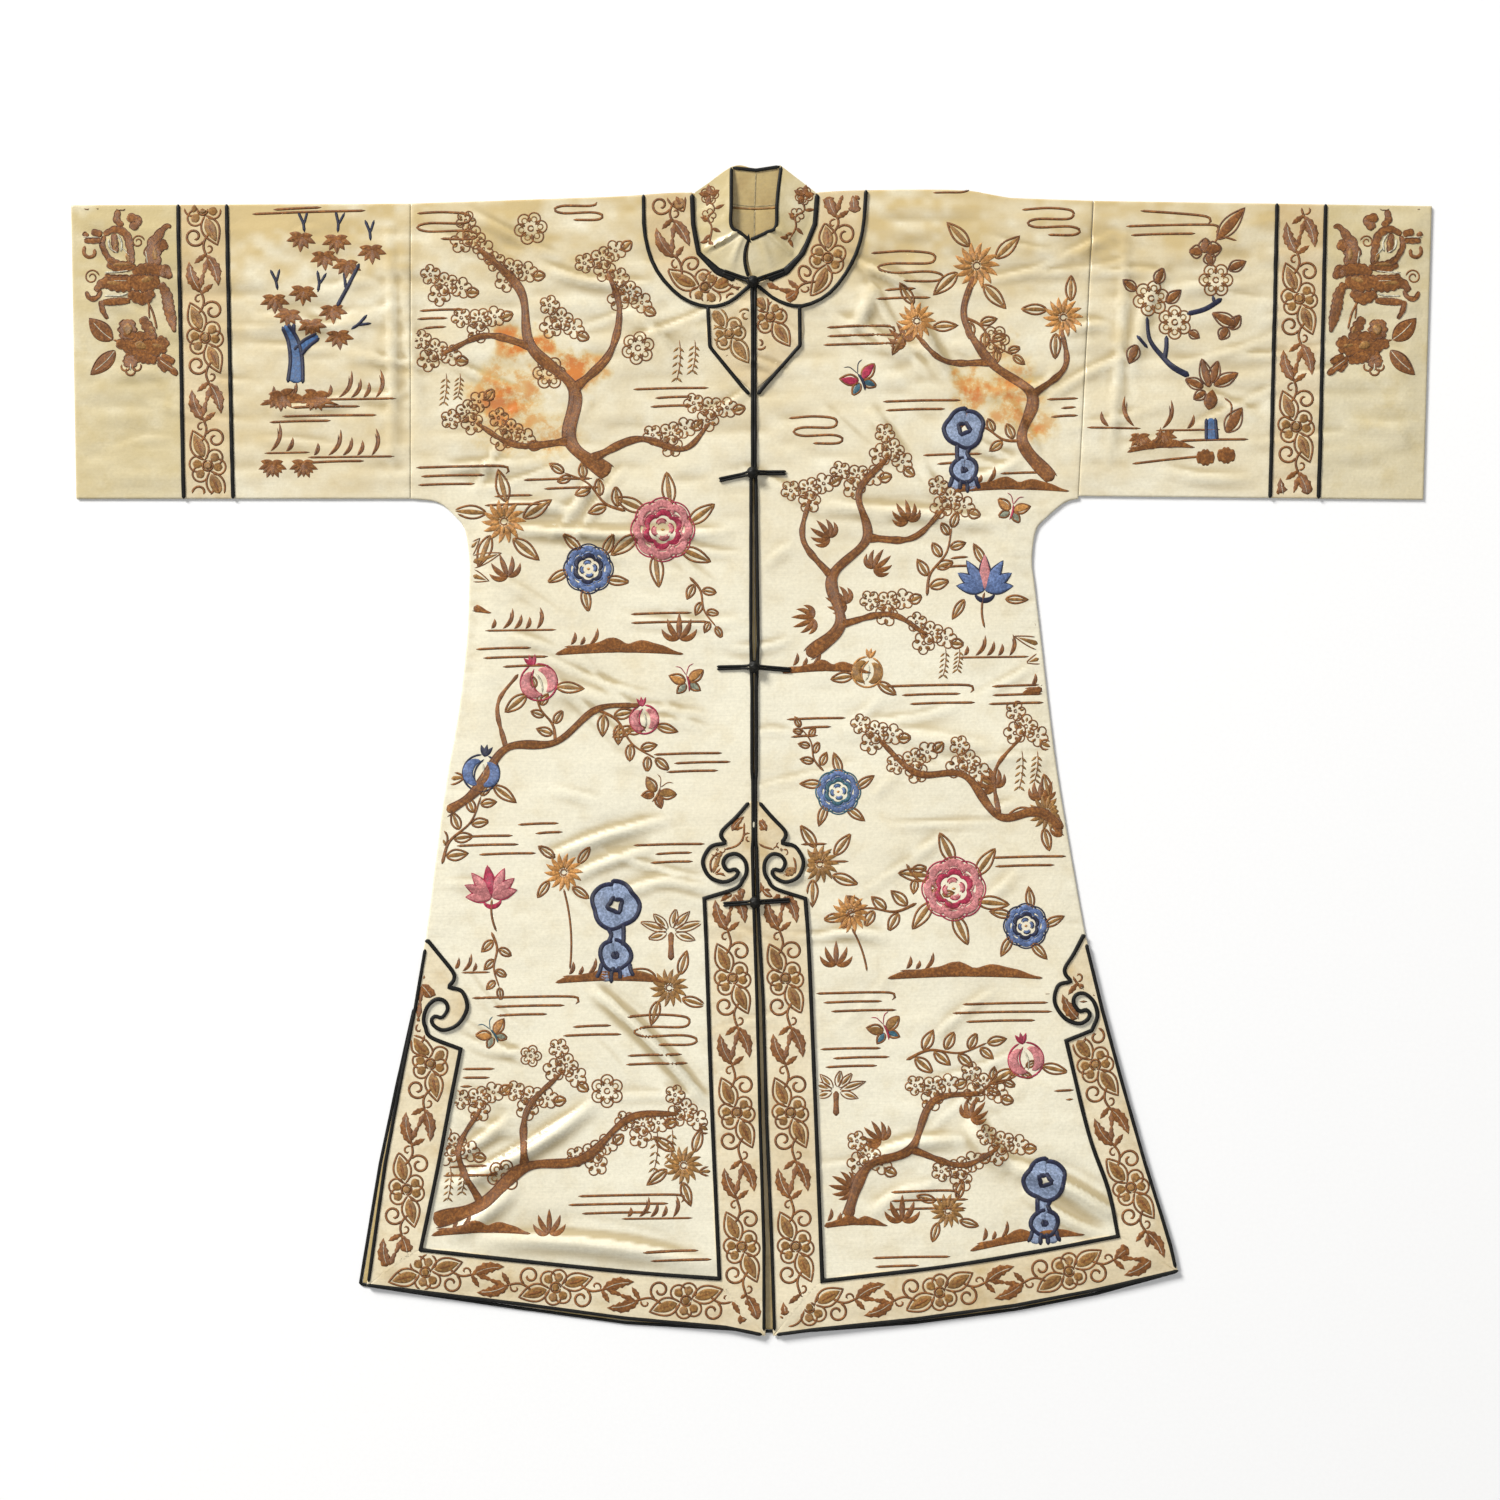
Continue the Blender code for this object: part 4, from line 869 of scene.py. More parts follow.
class JACKET_OT_body(bpy.types.Operator):
    """Front panels and sleeve lengths of cream satin with their creases"""

    bl_idname = "jacket.body"
    bl_label = "Fronts and sleeves"

    def execute(self, context):
        sizes = context.scene.jacket_cloth
        satin = material("satin")
        for side in SIDES:
            make_cloth(f"front_{side}", FRONT, satin, sizes.step, sizes.rim)
            make_cloth(f"sleeve_{side}_front", FRONT, satin, sizes.step, sizes.rim)
        return {"FINISHED"}


class JACKET_OT_backs(bpy.types.Operator):
    """Back panels of the body, the sleeves and the cuffs, which lie on the surface"""

    bl_idname = "jacket.backs"
    bl_label = "Backs"

    def execute(self, context):
        coarse = context.scene.jacket_cloth.step * 3
        lining, satin, cuff = material("lining"), material("satin_plain"), material("cuff")
        for side in SIDES:
            make_cloth(f"back_{side}", BACK, satin, coarse, 1, 0, lining)
            make_cloth(f"sleeve_{side}_back", BACK, satin, coarse, 1, 0)
            make_cloth(f"cuff_{side}_back", BACK, cuff, coarse, 1, 0)
        return {"FINISHED"}


STRIP_RIM = 0.7  # rounding of an applied strip's edge


class JACKET_OT_bands(bpy.types.Operator):
    """Cuffs, sleeve bands, neck bands, chest tabs and border strips"""

    bl_idname = "jacket.bands"
    bl_label = "Bands and cuffs"

    def execute(self, context):
        step = context.scene.jacket_cloth.step
        cuff, band = material("cuff"), material("band")
        for side in SIDES:
            make_cloth(f"cuff_{side}_front", FRONT, cuff, step)
            make_cloth(f"sleeve_band_{side}", FRONT, band, step)
            for strip in ("neck_band_", "chest_tab_", "border_front_", "border_hem_", "border_side_"):
                make_cloth(strip + side, STRIP, band, step, STRIP_RIM)
        return {"FINISHED"}


# Rows of the collar fronts from the shoulder fold to the front edge: foot, top edge and rise, in millimetres
COLLAR_ROWS = {
    "left": (
        (-54.6, 541, -18.3, 566.3, 0), (-56.4, 524, -18.3, 548, 3), (-55.2, 505, -18.3, 529, 5),
        (-49.6, 483.5, -18.3, 508.8, 6), (-40.5, 471.5, -9.5, 502, 6), (-22, 461.5, -4, 497.6, 5.5),
        (-0.2, 455.4, -1.6, 495.8, 4.5),
    ),
    "right": (
        (62, 541, 27.7, 567.3, 0), (61.4, 524, 25, 548, 3), (59, 507, 23.2, 529, 5),
        (47.4, 485, 22.3, 508, 6), (39.5, 472.5, 13.6, 502.6, 6), (24, 462.8, 5, 498.6, 5.5),
        (3.2, 455.6, -0.4, 496.2, 4.5),
    ),
}
# Creases of the collar fronts: row and column shares at each end, height and spread in rows
COLLAR_CREASES = {
    "left": (
        (0.50, 0, 0.62, 1, 2.4, 0.03), (0.56, 0.2, 0.68, 1, -1.3, 0.03), (0.84, 0.1, 0.74, 1, 1.4, 0.04),
        (0.22, 0, 0.28, 0.8, 0.9, 0.04), (0.38, 0.2, 0.42, 0.9, 0.7, 0.03),
    ),
    "right": (
        (0.46, 0.3, 0.52, 1, 2.2, 0.03), (0.60, 0.1, 0.66, 1, 1.6, 0.035),
        (0.54, 0.1, 0.58, 0.9, -1, 0.03), (0.86, 0, 0.80, 0.9, 1.1, 0.04),
        (0.24, 0.1, 0.18, 0.9, 0.8, 0.04),
    ),
}
COLLAR_BASE = 2.9
COLLAR_THICK = 1.1
COLLAR_BOW = 4.5
COLLAR_PIPING = 1.75  # half width of the binding on the collar's edges


def collar_front(side):
    """Upper surface of a collar front as a grid. Its rows run from foot to top edge, blended along the
    neck by cubics; each rises towards the top edge, and creases cross it as narrow ridges."""
    rows = np.array(COLLAR_ROWS[side])
    per_span, columns = 7, 26
    foot = flow(rows[:, 0] + 1j * rows[:, 1], per_span)
    top = flow(rows[:, 2] + 1j * rows[:, 3], per_span)
    along = np.linspace(0, 1, len(foot))[:, None]
    share = np.linspace(0, 1, columns)[None]
    plan = foot[:, None] * (1 - share) + top[:, None] * share
    near_front = np.clip((along - 0.72) / 0.28, 0, 1)
    plan = plan - COLLAR_BOW * np.sin(np.pi * share) * near_front * near_front
    rise = np.interp(along[:, 0], np.linspace(0, 1, len(rows)), rows[:, 4])[:, None]
    level = COLLAR_BASE + rise * np.clip(share * 1.15 - 0.15, 0, 1)
    level = level + 0.35 * soft_noise(along * 9 + share, share * 4, 31) * np.sin(np.pi * share)
    for start, low, end, high, height, spread in COLLAR_CREASES[side]:
        part = np.clip((share - low) / (high - low), 0, 1)
        away = (along - start - (end - start) * part) / spread
        level = level + height * np.exp(-(away**2)) * np.sin(np.pi * part) ** 0.5
    return plan, level


def grid_shell(plan, level, thick):
    """Closed shell between a grid's upper surface and the same grid lowered by its thickness."""
    rows, columns = plan.shape
    upper = np.stack([plan.real, plan.imag, level], axis=2).reshape(-1, 3)
    lower = upper - (0, 0, thick)
    index = np.arange(rows * columns).reshape(rows, columns)
    top = np.stack([index[:-1, :-1], index[1:, :-1], index[1:, 1:], index[:-1, 1:]], axis=2).reshape(-1, 4)
    spread = np.concatenate([index[:-1, 0], index[-1, :-1], index[:0:-1, -1], index[0, :0:-1]])
    after = np.roll(spread, -1)
    if facing(plan) < 0:
        top = top[:, ::-1]
        spread, after = after, spread
    wall = np.column_stack([spread, spread + rows * columns, after + rows * columns, after])
    return np.concatenate([upper, lower]), [top, top[:, ::-1] + rows * columns, wall]


def facing(plan):
    """Positive where the grid's faces, taken down the rows and then across, run anticlockwise."""
    down = plan[1:, :-1] - plan[:-1, :-1]
    across = plan[:-1, 1:] - plan[:-1, :-1]
    return (down.conj() * across).imag.sum()


def border_line(side):
    """Inner line of the border strips, over both cloud heads: the parts of the three strips' outlines
    that lie clear of the bound edges, joined at the inner corners of the mitres."""
    edges = [midline(OUTLINES[f"edge_binding_{place}_{side}"]) for place in ("front", "hem", "side")]
    starts = np.concatenate([edge[:-1] for edge in edges])
    ends = np.concatenate([edge[1:] for edge in edges])
    line = np.array([complex(0, 2000)])
    for place in ("front", "hem", "side"):
        outline = OUTLINES[f"border_{place}_{side}"]
        clear = distance(outline, starts, ends) > 4.6
        first = np.nonzero(clear & ~np.roll(clear, 1))[0][0]
        run = np.roll(outline, -first)[: clear.sum()]
        if abs(run[-1] - line[-1]) < abs(run[0] - line[-1]):
            run = run[::-1]
        line = np.concatenate([line, run])
    bound = OUTLINES[f"border_binding_{side}"]
    top = bound[np.argsort(-bound.imag)[:2]].mean()
    line[0] = top + 5.5 * (top - line[1]) / abs(top - line[1])
    return line[np.concatenate([[True], np.abs(np.diff(line)) > 0.3])]


def black_piece(name, shape, node_name):
    """A piece of black satin from points, faces and a length map."""
    points, faces, uv = shape
    new_piece(name, points, faces, [material("black")], [node_name], uv)


# Bindings by the start of their names: width, level of the underside and level of the top, in millimetres
PIPING_SIZES = {
    "border_binding": (3.9, 2.7, PIPING_TOP["strip"]),
    "neck_band_binding": (3.7, 2.7, PIPING_TOP["strip"]),
    "chest_tab_binding": (3.7, 2.7, PIPING_TOP["strip"]),
    "neck_binding": (4.7, 2.4, PIPING_TOP["strip"]),
    "edge_binding_front": (3.3, 1.7, PIPING_TOP["strip"]),
    "edge_binding": (3.5, 1.7, PIPING_TOP["strip"]),
    "back_binding": (3, 0.02, 1.5),
    "sleeve_binding": (3.9, 1.9, PIPING_TOP["edge"]),
}


def piping(node_name, path=None):
    """Black piping along a CAD binding's middle line, or along the path that is given. The height map lifts
    it, and it is a little uneven in width."""
    sizes = (sizes for start, sizes in PIPING_SIZES.items() if node_name.startswith(start))
    width, low, high = next(sizes)
    path = smooth(midline(OUTLINES[node_name]) if path is None else path, 2)
    if node_name.startswith("neck_binding"):
        width = width * wide_at_knot(path)
    wander = 1 + 0.07 * soft_noise(path.real / 17, path.imag / 17, 21)
    height = lay(path)
    shape = tube(path, width / 2 * wander, low + height, high + height + 0.12 * (wander - 1))
    black_piece("piping_" + node_name, shape, node_name)


def met(path):
    """Share of the way to the middle of the opening: 1 where its two edges lie as one line."""
    upper = np.clip((path.imag - 262) / 12, 0, 1)
    lower = np.clip(1 - (np.abs(path.imag + 58) - 28) / 10, 0, 1)
    return np.maximum(upper * np.clip((452 - path.imag) / 60 + 0.45, 0.45, 1), lower)


def wide_at_knot(path):
    """Share of its width that the neck seam's piping has: more towards the knot, where it is double."""
    return 1 + 0.75 * np.clip((484 - path.imag) / 26, 0, 1)


def drawn_to(node_name, target, other=None):
    """A CAD binding's middle line with its lower inner end drawn on to a target, and its other end too."""
    path = midline(OUTLINES[node_name])
    if abs(path[0] - target) < abs(path[-1] - target):
        path = path[::-1]
    path = np.append(path, target)
    return path if other is None else np.concatenate([[other], path])


# Where the lines round the neck bands and tabs end: band at the opening, tab at its point and under the band
NECK_POINTS = {"left": (-1+451j, -2+345j, -42.2+431j), "right": (5+451j, 6+345j, 46.8+431j)}
OPENING = 2.2  # middle of the opening near the knot, across the front


class JACKET_OT_piping(bpy.types.Operator):
    """Black bindings along the borders, bands, neck, opening, slits and hems"""

    bl_idname = "jacket.piping"
    bl_label = "Bindings"

    def execute(self, context):
        for side in SIDES:
            piping(f"border_binding_{side}", border_line(side))
            band, tab = f"neck_band_binding_{side}", f"chest_tab_binding_{side}"
            piping(band, drawn_to(band, NECK_POINTS[side][0]))
            piping(tab, drawn_to(tab, *NECK_POINTS[side][1:]))
            piping(f"neck_binding_{side}")
            front = f"edge_binding_front_{side}"
            opening = smooth(drawn_to(front, complex(OPENING + SIGN[side] * 1.6, 452)), 2)
            middle = OPENING + 0.5 * np.interp(opening.imag, (-570, -100, 450), (8, 1, 0))
            beside = middle + SIGN[side] * 1.15
            piping(front, opening + 0.85 * met(opening) * (beside - opening.real))
            for name in ("edge_binding_hem_", "edge_binding_side_", "back_binding_"):
                piping(name + side)
            for line in ("inner", "outer"):
                piping(f"sleeve_binding_{side}_{line}")
        return {"FINISHED"}


class JACKET_OT_collar(bpy.types.Operator):
    """Stand collar: two bowed fronts with creases, the khaki back with its seams, and the bound top edge"""

    bl_idname = "jacket.collar"
    bl_label = "Collar"

    def execute(self, context):
        make_cloth("collar_back", BACK, material("lining"), 1.6, 0.8, 0)
        for side in SIDES:
            plan, level = collar_front(side)
            points, faces = grid_shell(plan, level, COLLAR_THICK)
            name = "collar_" + side
            piece = new_piece("cloth_" + name, points, faces, [material("cuff")], [name])
            declare_sheet(OUTLINES[name])
            add_wear_and_painted_shade(piece)
            inward = plan[:, -2] - plan[:, -1]
            path = plan[:, -1] + inward / np.abs(inward) * 1.6
            height = level[:, -1]
            low, high = height - COLLAR_THICK - 0.4, height + 0.7
            if side == "left":
                inward = (plan[-4] - plan[-1])[::-1]
                front = plan[-1, ::-1] + 1.5 * inward / np.abs(inward)
                path = np.concatenate([path[:-1], front[:-2]])
                height = np.concatenate([height[:-1], level[-1, ::-1][:-2]])
                low, high = height - COLLAR_THICK - 0.3, height + 0.65
            shape = tube(path, np.full(len(path), COLLAR_PIPING), low, high)
            black_piece("piping_" + name, shape, "collar_binding_" + side)
        seams = [
            stroke(flow([-24+527j, 3+525.2j, 32+527j]), 2.6, "tan", 0.5),
            stroke([3+526j, 4.4+561j], 1.5, "lining", 0.5),
            stroke(flow([-18+529.5j, 3+527.6j, 26+529.5j]), 1.2, "lining", 0.4),
            stroke([3+524j, 2.6+470j], 1.4, "lining", 0.45),
        ]
        embroider("seams_collar_back", seams, lambda points: np.full(len(points), BACK[1]))
        path = smooth(midline(OUTLINES["collar_binding_back"]), 1.6)
        before, after = path[0] - 3 * (path[1] - path[0]), path[-1] + 3 * (path[-1] - path[-2])
        path = np.concatenate([[before], path, [after]])
        half, low, high = np.full((3, len(path)), [[1.7], [1.12], [2.7]])
        black_piece("piping_collar_back", tube(path, half, low, high), "collar_binding_back")
        return {"FINISHED"}


# Frogs: height, left end, knot, right end, drop of each end, and whether their straps lie on a strip
FROGS = (
    (454, -27.5, 1.5, 32, -10, -11, True), (269, -31.5, 1, 33.5, 7, 0, False),
    (81, -33.5, 2.5, 38.3, 1, 3, False), (-147, -27.6, 3.4, 37.3, 2, -2, True),
)
KNOT_RADIUS = 5.3
CORD_RADIUS = 1.25


def strap_level(path, over_strip):
    """Level of the surface under a strap: the cloth or strip, rising onto the bound edges at the opening."""
    near = np.clip((13 - np.abs(path.real - 2.5)) / 7, 0, 1)
    ground = STRIP[1] if over_strip else FRONT[1]
    return ground + (PIPING_TOP["strip"] - ground) * near * near * (3 - 2 * near) + lay(path)


def cord(path, level):
    """A round cord lying on a level surface."""
    return tube(path, np.full(len(path), CORD_RADIUS), level, level + 2 * CORD_RADIUS)


def joined(parts):
    """Several sets of points, faces and length maps as one."""
    offset = np.cumsum([0] + [len(part[0]) for part in parts[:-1]])
    faces = [face + start for part, start in zip(parts, offset) for face in part[1]]
    return np.concatenate([part[0] for part in parts]), faces, np.concatenate([part[2] for part in parts])


def knot_ball(centre, level):
    """Knotted ball: a sphere whose radius swells along two families of crossing bands, like plaited cord."""
    rows, columns = 25, 48
    down = np.linspace(0.02, np.pi - 0.02, rows)[:, None]
    turn = np.arange(columns)[None] * 2 * np.pi / columns
    weave = np.maximum(np.cos(4 * turn + 3 * down), np.cos(4 * turn - 3 * down)) * np.sin(down)
    radius = KNOT_RADIUS * (0.91 + 0.09 * weave)
    x = centre.real + radius * np.cos(down) + 0 * turn
    y = centre.imag + radius * np.sin(down) * np.cos(turn)
    z = level + KNOT_RADIUS * 0.72 + 0.72 * radius * np.sin(down) * np.sin(turn)
    index = np.arange(rows * columns).reshape(rows, columns)
    after = np.roll(index, -1, axis=1)
    quads = np.stack([index[:-1], index[1:], after[1:], after[:-1]], axis=2).reshape(-1, 4)
    caps = np.stack([index[0], index[-1][::-1]])
    points = np.stack([x, y, z], axis=2).reshape(-1, 3)
    uv = np.column_stack([np.tile(turn[0] * 8, rows), np.repeat(down[:, 0] * 8, columns)])
    return points, [quads, caps], uv


class JACKET_OT_frogs(bpy.types.Operator):
    """Four frog closures: doubled black cords, a loop on the left and a knotted ball on the right"""

    bl_idname = "jacket.frogs"
    bl_label = "Frogs"

    def execute(self, context):
        for number, (height, left, knot, right, left_drop, right_drop, over_strip) in enumerate(FROGS, 1):
            centre = complex(knot, height)
            start = complex(left, height - left_drop)
            towards = (centre - start) / abs(centre - start)
            aside = 1j * towards * (CORD_RADIUS + 0.05)
            ring = centre + (KNOT_RADIUS - 0.6) * towards * np.exp(1j * np.linspace(0.78, -0.78, 15) * np.pi)
            near = centre - towards * (KNOT_RADIUS + 2)
            path = np.concatenate([[start + aside, near + aside], ring, [near - aside, start - aside]])
            path = smooth(path, 1.2, sharp=math.radians(80))
            low = strap_level(path, over_strip)
            black_piece(f"frog_{number}_left", cord(path, low), f"frog_{number}_loop")
            end = complex(right, height - right_drop)
            towards = (end - centre) / abs(end - centre)
            aside = 1j * towards * (CORD_RADIUS + 0.05)
            begin = centre + towards * (KNOT_RADIUS - 1.5)
            parts = [knot_ball(centre, float(strap_level(np.array([centre]), over_strip)[0]) + 1)]
            for sign in (1, -1):
                path = resample(np.array([begin + sign * aside, end + sign * aside]), 1.2)
                parts.append(cord(path, strap_level(path, over_strip)))
            black_piece(f"frog_{number}_right", joined(parts), f"frog_{number}_knot")
        return {"FINISHED"}


# Embroidery: a stroke is a plan path, its half widths from start to end, its height, its thread and its step

CORD = 2.5


def stroke(path, width=CORD, thread="brown", height=0.55, step=1.7):
    """One laid cord or filled shape; a width with several values is spread over the stroke's length."""
    return np.asarray(path, complex), np.atleast_1d(np.asarray(width, float)) / 2, height, thread, step


def cords(rows, *rest):
    """Cords along curves: each row has a curve's points and its width."""
    return [stroke(flow(points), width, *rest) for points, width in rows]


def put(strokes, at, turn=0, scale=1, flip=False):
    """The strokes turned by degrees, scaled, mirrored and set at a place; a cord keeps its width."""
    spin = scale * way_of(turn)
    moved = []
    for path, half, height, thread, step in strokes:
        path = -path.conj() if flip else path
        moved.append((path * spin + at, half * scale if len(half) > 1 else half, height, thread, step))
    return moved


def arc(centre, radius, start, end, count=18):
    """Points of a circular arc between two angles in degrees."""
    return centre + radius * np.exp(1j * np.radians(np.linspace(start, end, count)))


def drop(base, tip, half, count=15):
    """Closed outline of a petal: a line out and back whose sides bulge by a skewed half sine."""
    share = np.linspace(0, 1, count)
    side = half * np.sin(np.pi * share**0.85) * 1j * (tip - base) / abs(tip - base)
    out = base + (tip - base) * share
    return np.concatenate([out + side, (out - side)[-2::-1]])


def bent(base, tip, bend, count=12):
    """Points of a parabola from base to tip whose middle is moved aside by a share of its length."""
    share = np.linspace(0, 1, count)
    return base + (tip - base) * (share + 1j * bend * 4 * share * (1 - share))


def blade(base, tip, width, thread="brown", bend=0, teeth=0, height=0.36):
    """A filled leaf or petal: its width follows a skewed half sine, with a saw edge where it has teeth."""
    share = np.linspace(0, 1, 8 * teeth + 1 if teeth else 15)
    full = width * np.sin(np.pi * np.clip(share * 0.94 + 0.03, 0, 1) ** 0.85)
    if teeth:
        full = full * (1.12 - 0.5 * (share * teeth % 1))
    return stroke(bent(base, tip, bend, len(share)), full, thread, height, 1.4)


def curl(start, heading, radius, hand, turns=1.25, width=CORD):
    """A spiral tendril: it leaves its start along the heading (degrees) and winds inwards to one hand."""
    side = 1j * hand * way_of(heading) * radius
    share = np.linspace(0, 1, 26)
    spin = np.exp(1j * hand * 2 * np.pi * turns * share)
    return stroke(start + side - side * spin * (1 - 0.72 * share), width, step=1.3)


def leaf(base, tip, width):
    """A leaf with its outline, a lighter fill and a gap of ground between them."""
    return [stroke(drop(base, tip, width / 2)), blade(base, tip, width * 0.42, "tan", height=0.4)]


def toothed(base, tip, width):
    """A serrated leaf, filled, with a pale rib and two narrow side lobes."""
    run = tip - base
    parts = [blade(base, tip, width * 0.86, "brown", 0.08, 5)]
    for turn, at, reach in ((34, 0.26, 0.46), (-36, 0.1, 0.56)):
        start = base + run * at
        parts.append(blade(start, start + run * reach * way_of(turn), width * 0.5, teeth=3))
    parts.append(stroke(bent(base + run * 0.08, base + run * 0.9, 0.08), 1.5, "cream", 0.85))
    return parts


def rosette(radius, petals=5, thread="brown", inner="tan", turn=0, double=True):
    """An open flower: looped petals, a smaller loop inside each, and a ring with a knot in the middle."""
    parts = []
    line = 1.2 + 0.04 * radius
    for angle in turn + np.arange(petals) * 360 / petals:
        way = way_of(angle)
        half = 0.74 * radius * math.sin(math.pi / petals)
        petal = arc(way * radius * 0.62, half, angle - 150, angle + 150, 20)
        parts.append(stroke(petal, line, thread, 0.55, 1.25))
        if double:
            loop = arc(way * radius * 0.58, half * 0.46, angle - 175, angle + 175, 14)
            parts.append(stroke(loop, line * 0.9, inner, 0.45, 1.2))
    parts.append(stroke(arc(0, radius * 0.17, 0, 350, 12), line, thread, 0.7, 1.2))
    return parts


def lobed(points, width, bumps):
    """A filled petal along a curve: its width is given along it or swells towards its middle; its edges are
    scalloped and lined with a darker cord."""
    path = resample(flow(points), 0.8)
    share = np.linspace(0, 1, len(path))
    if isinstance(width, tuple):
        full = np.interp(share, np.linspace(0, 1, len(width)), width)
    else:
        full = width * np.sin(np.pi * (0.07 + 0.86 * share)) ** 0.45
    full = full * (1 - 0.36 * (1 - np.abs(np.sin(np.pi * bumps * share)) ** 0.6))
    side = side_steps(path) * full / 2
    edges = [stroke(path + sign * side * 0.88, 1.2, "dark", 0.85, 1) for sign in (1, -1)]
    return [stroke(path, full, "brown", 0.36, 0.8), *edges]


def edged(points, widths, fill, edge, line, height=0.34):
    """A filled band along a curve, with a cord laid along each of its edges."""
    path = resample(flow(points), 1.6)
    full = np.interp(np.linspace(0, 1, len(path)), np.linspace(0, 1, len(widths)), widths)
    side = side_steps(path) * full / 2
    parts = [stroke(path, full, fill, height, 1.6)]
    return parts + [stroke(path + sign * side * 0.96, line, edge, height + 0.5) for sign in (1, -1)]


def band_flower():
    """Flower of the scroll bands: four round petals and two long ones, each a cord round a lighter fill."""
    parts = []
    for turn, far in ((80, 10), (138, 10.6), (262, 10), (318, 10.6)):
        way = way_of(turn)
        parts.append(stroke(arc(way * far, 7.6, turn - 128, turn + 128, 22), 2.3, "brown", 0.7, 1.4))
        parts.append(stroke([way * (far - 5), way * (far + 4.6)], (3, 8, 9.2, 4), "tan", 0.36, 1.2))
        parts.append(stroke(arc(way * (far + 0.8), 2.2, turn - 100, turn + 100, 9), 1.5, "brown", 0.75, 1.2))
    for turn in (22, 202):
        way = way_of(turn)
        parts.append(stroke(drop(way * 6, way * 37, 8.6), 2.4, "brown", 0.75, 1.5))
        parts.append(blade(way * 9, way * 33.5, 11, "tan"))
        parts.append(blade(way * 12, way * 30, 4, "brown", height=0.75))
    parts.append(stroke([-3.6, 3.6], (5, 8.4, 5), "tan", 0.7, 1.1))
    parts.append(stroke(arc(0, 5, 0, 352, 18), 2.3, "brown", 0.95, 1.3))
    parts.append(stroke(arc(0, 1.4, 0, 352, 8), 1.6, "brown", 0.95, 1.1))
    return parts


def half_vine(reach):
    """One tail of a scroll flower: vine, curl on one side and serrated leaf on the other."""
    parts = [stroke(flow([22+7j, 29+2j, 37+0.5j, reach - 12 + 4.5j]), 2.8)]
    parts.append(curl(30+1j, -24, 10, -1, 1.2, 2.9))
    parts += toothed(reach - 16 + 3.5j, reach + 14 + 14j, 13.5)
    parts.append(curl(reach - 18 + 3.5j, 70, 5, 1, 0.7, 2.3))
    parts.append(blade(reach - 17 + 3j, reach - 8 - 9j, 6.5, teeth=3))
    return parts


def scroll(path, pitch, first):
    """Running scroll along a band's middle path: a flower at the first place and at even steps from it,
    each with a tail both ways. A stroke's real part runs along the band, its imaginary part across it."""
    run = gone_along(path)
    unit = band_flower() + half_vine(pitch / 2 - 2)
    unit += put(half_vine(pitch / 2 - 2), 0, 180)
    parts = []
    for k in range(-1, int((run[-1] - first) / pitch) + 2):
        parts += put(unit, first + k * pitch)
    normal = side_steps(path)
    laid = []
    for line, half, height, thread, step in fine(parts):
        for a, b in stretches((line.real > 1) & (line.real < run[-1] - 1)):
            x, y = line[a:b].real, line[a:b].imag
            place = np.interp(x, run, path) + y * np.interp(x, run, normal)
            laid.append((place, half[: b - a], height, thread, step))
    return laid


def stretches(kept):
    """Start and end of each stretch of kept points that has two points or more."""
    marks = np.flatnonzero(np.diff(np.concatenate([[0], kept.astype(int), [0]])))
    return [(a, b) for a, b in zip(marks[::2], marks[1::2]) if b - a > 1]


def fine(strokes):
    """The strokes with their points close together, so that they can be trimmed cleanly."""
    dense = []
    for path, half, height, thread, step in strokes:
        line = resample(path, 1.62 * step)
        share = np.linspace(0, 1, len(line))
        dense.append((line, np.interp(share, np.linspace(0, 1, len(half)), half), height, thread, step))
    return dense


def trimmed(strokes, outline, holes, margin):
    """The strokes cut off where they leave an outline or come near to it or to the pieces applied on it."""
    strokes = fine(strokes)
    points = np.concatenate([path for path, *_ in strokes])
    kept = inside(points, outline)
    starts, ends = outline, np.roll(outline, -1)
    for hole in holes:
        kept &= ~inside(points, hole)
        starts = np.concatenate([starts, hole])
        ends = np.concatenate([ends, np.roll(hole, -1)])
    kept[kept] = distance(points[kept], starts, ends) > margin
    parts, place = [], 0
    for path, half, *rest in strokes:
        parts += [(path[a:b], half[a:b], *rest) for a, b in stretches(kept[place : place + len(path)])]
        place += len(path)
    return parts


CORD_HALF = 1.6
FILL_HALF = 3.6
SECTIONS = {
    "cord": (np.array([-1, 0, 1]), np.array([0, 1, 0])),
    "fill": (np.array([-1, -0.72, 0, 0.72, 1, 0]), np.array([0, 0.8, 1, 0.8, 0, -0.4])),
    "wide": (
        np.array([-1, -0.86, -0.5, 0, 0.5, 0.86, 1, 0.5, 0, -0.5]),
        np.array([0, 1.2, 1.5, 1.5, 1.5, 1.2, 0, -0.4, -0.4, -0.4]),
    ),
}


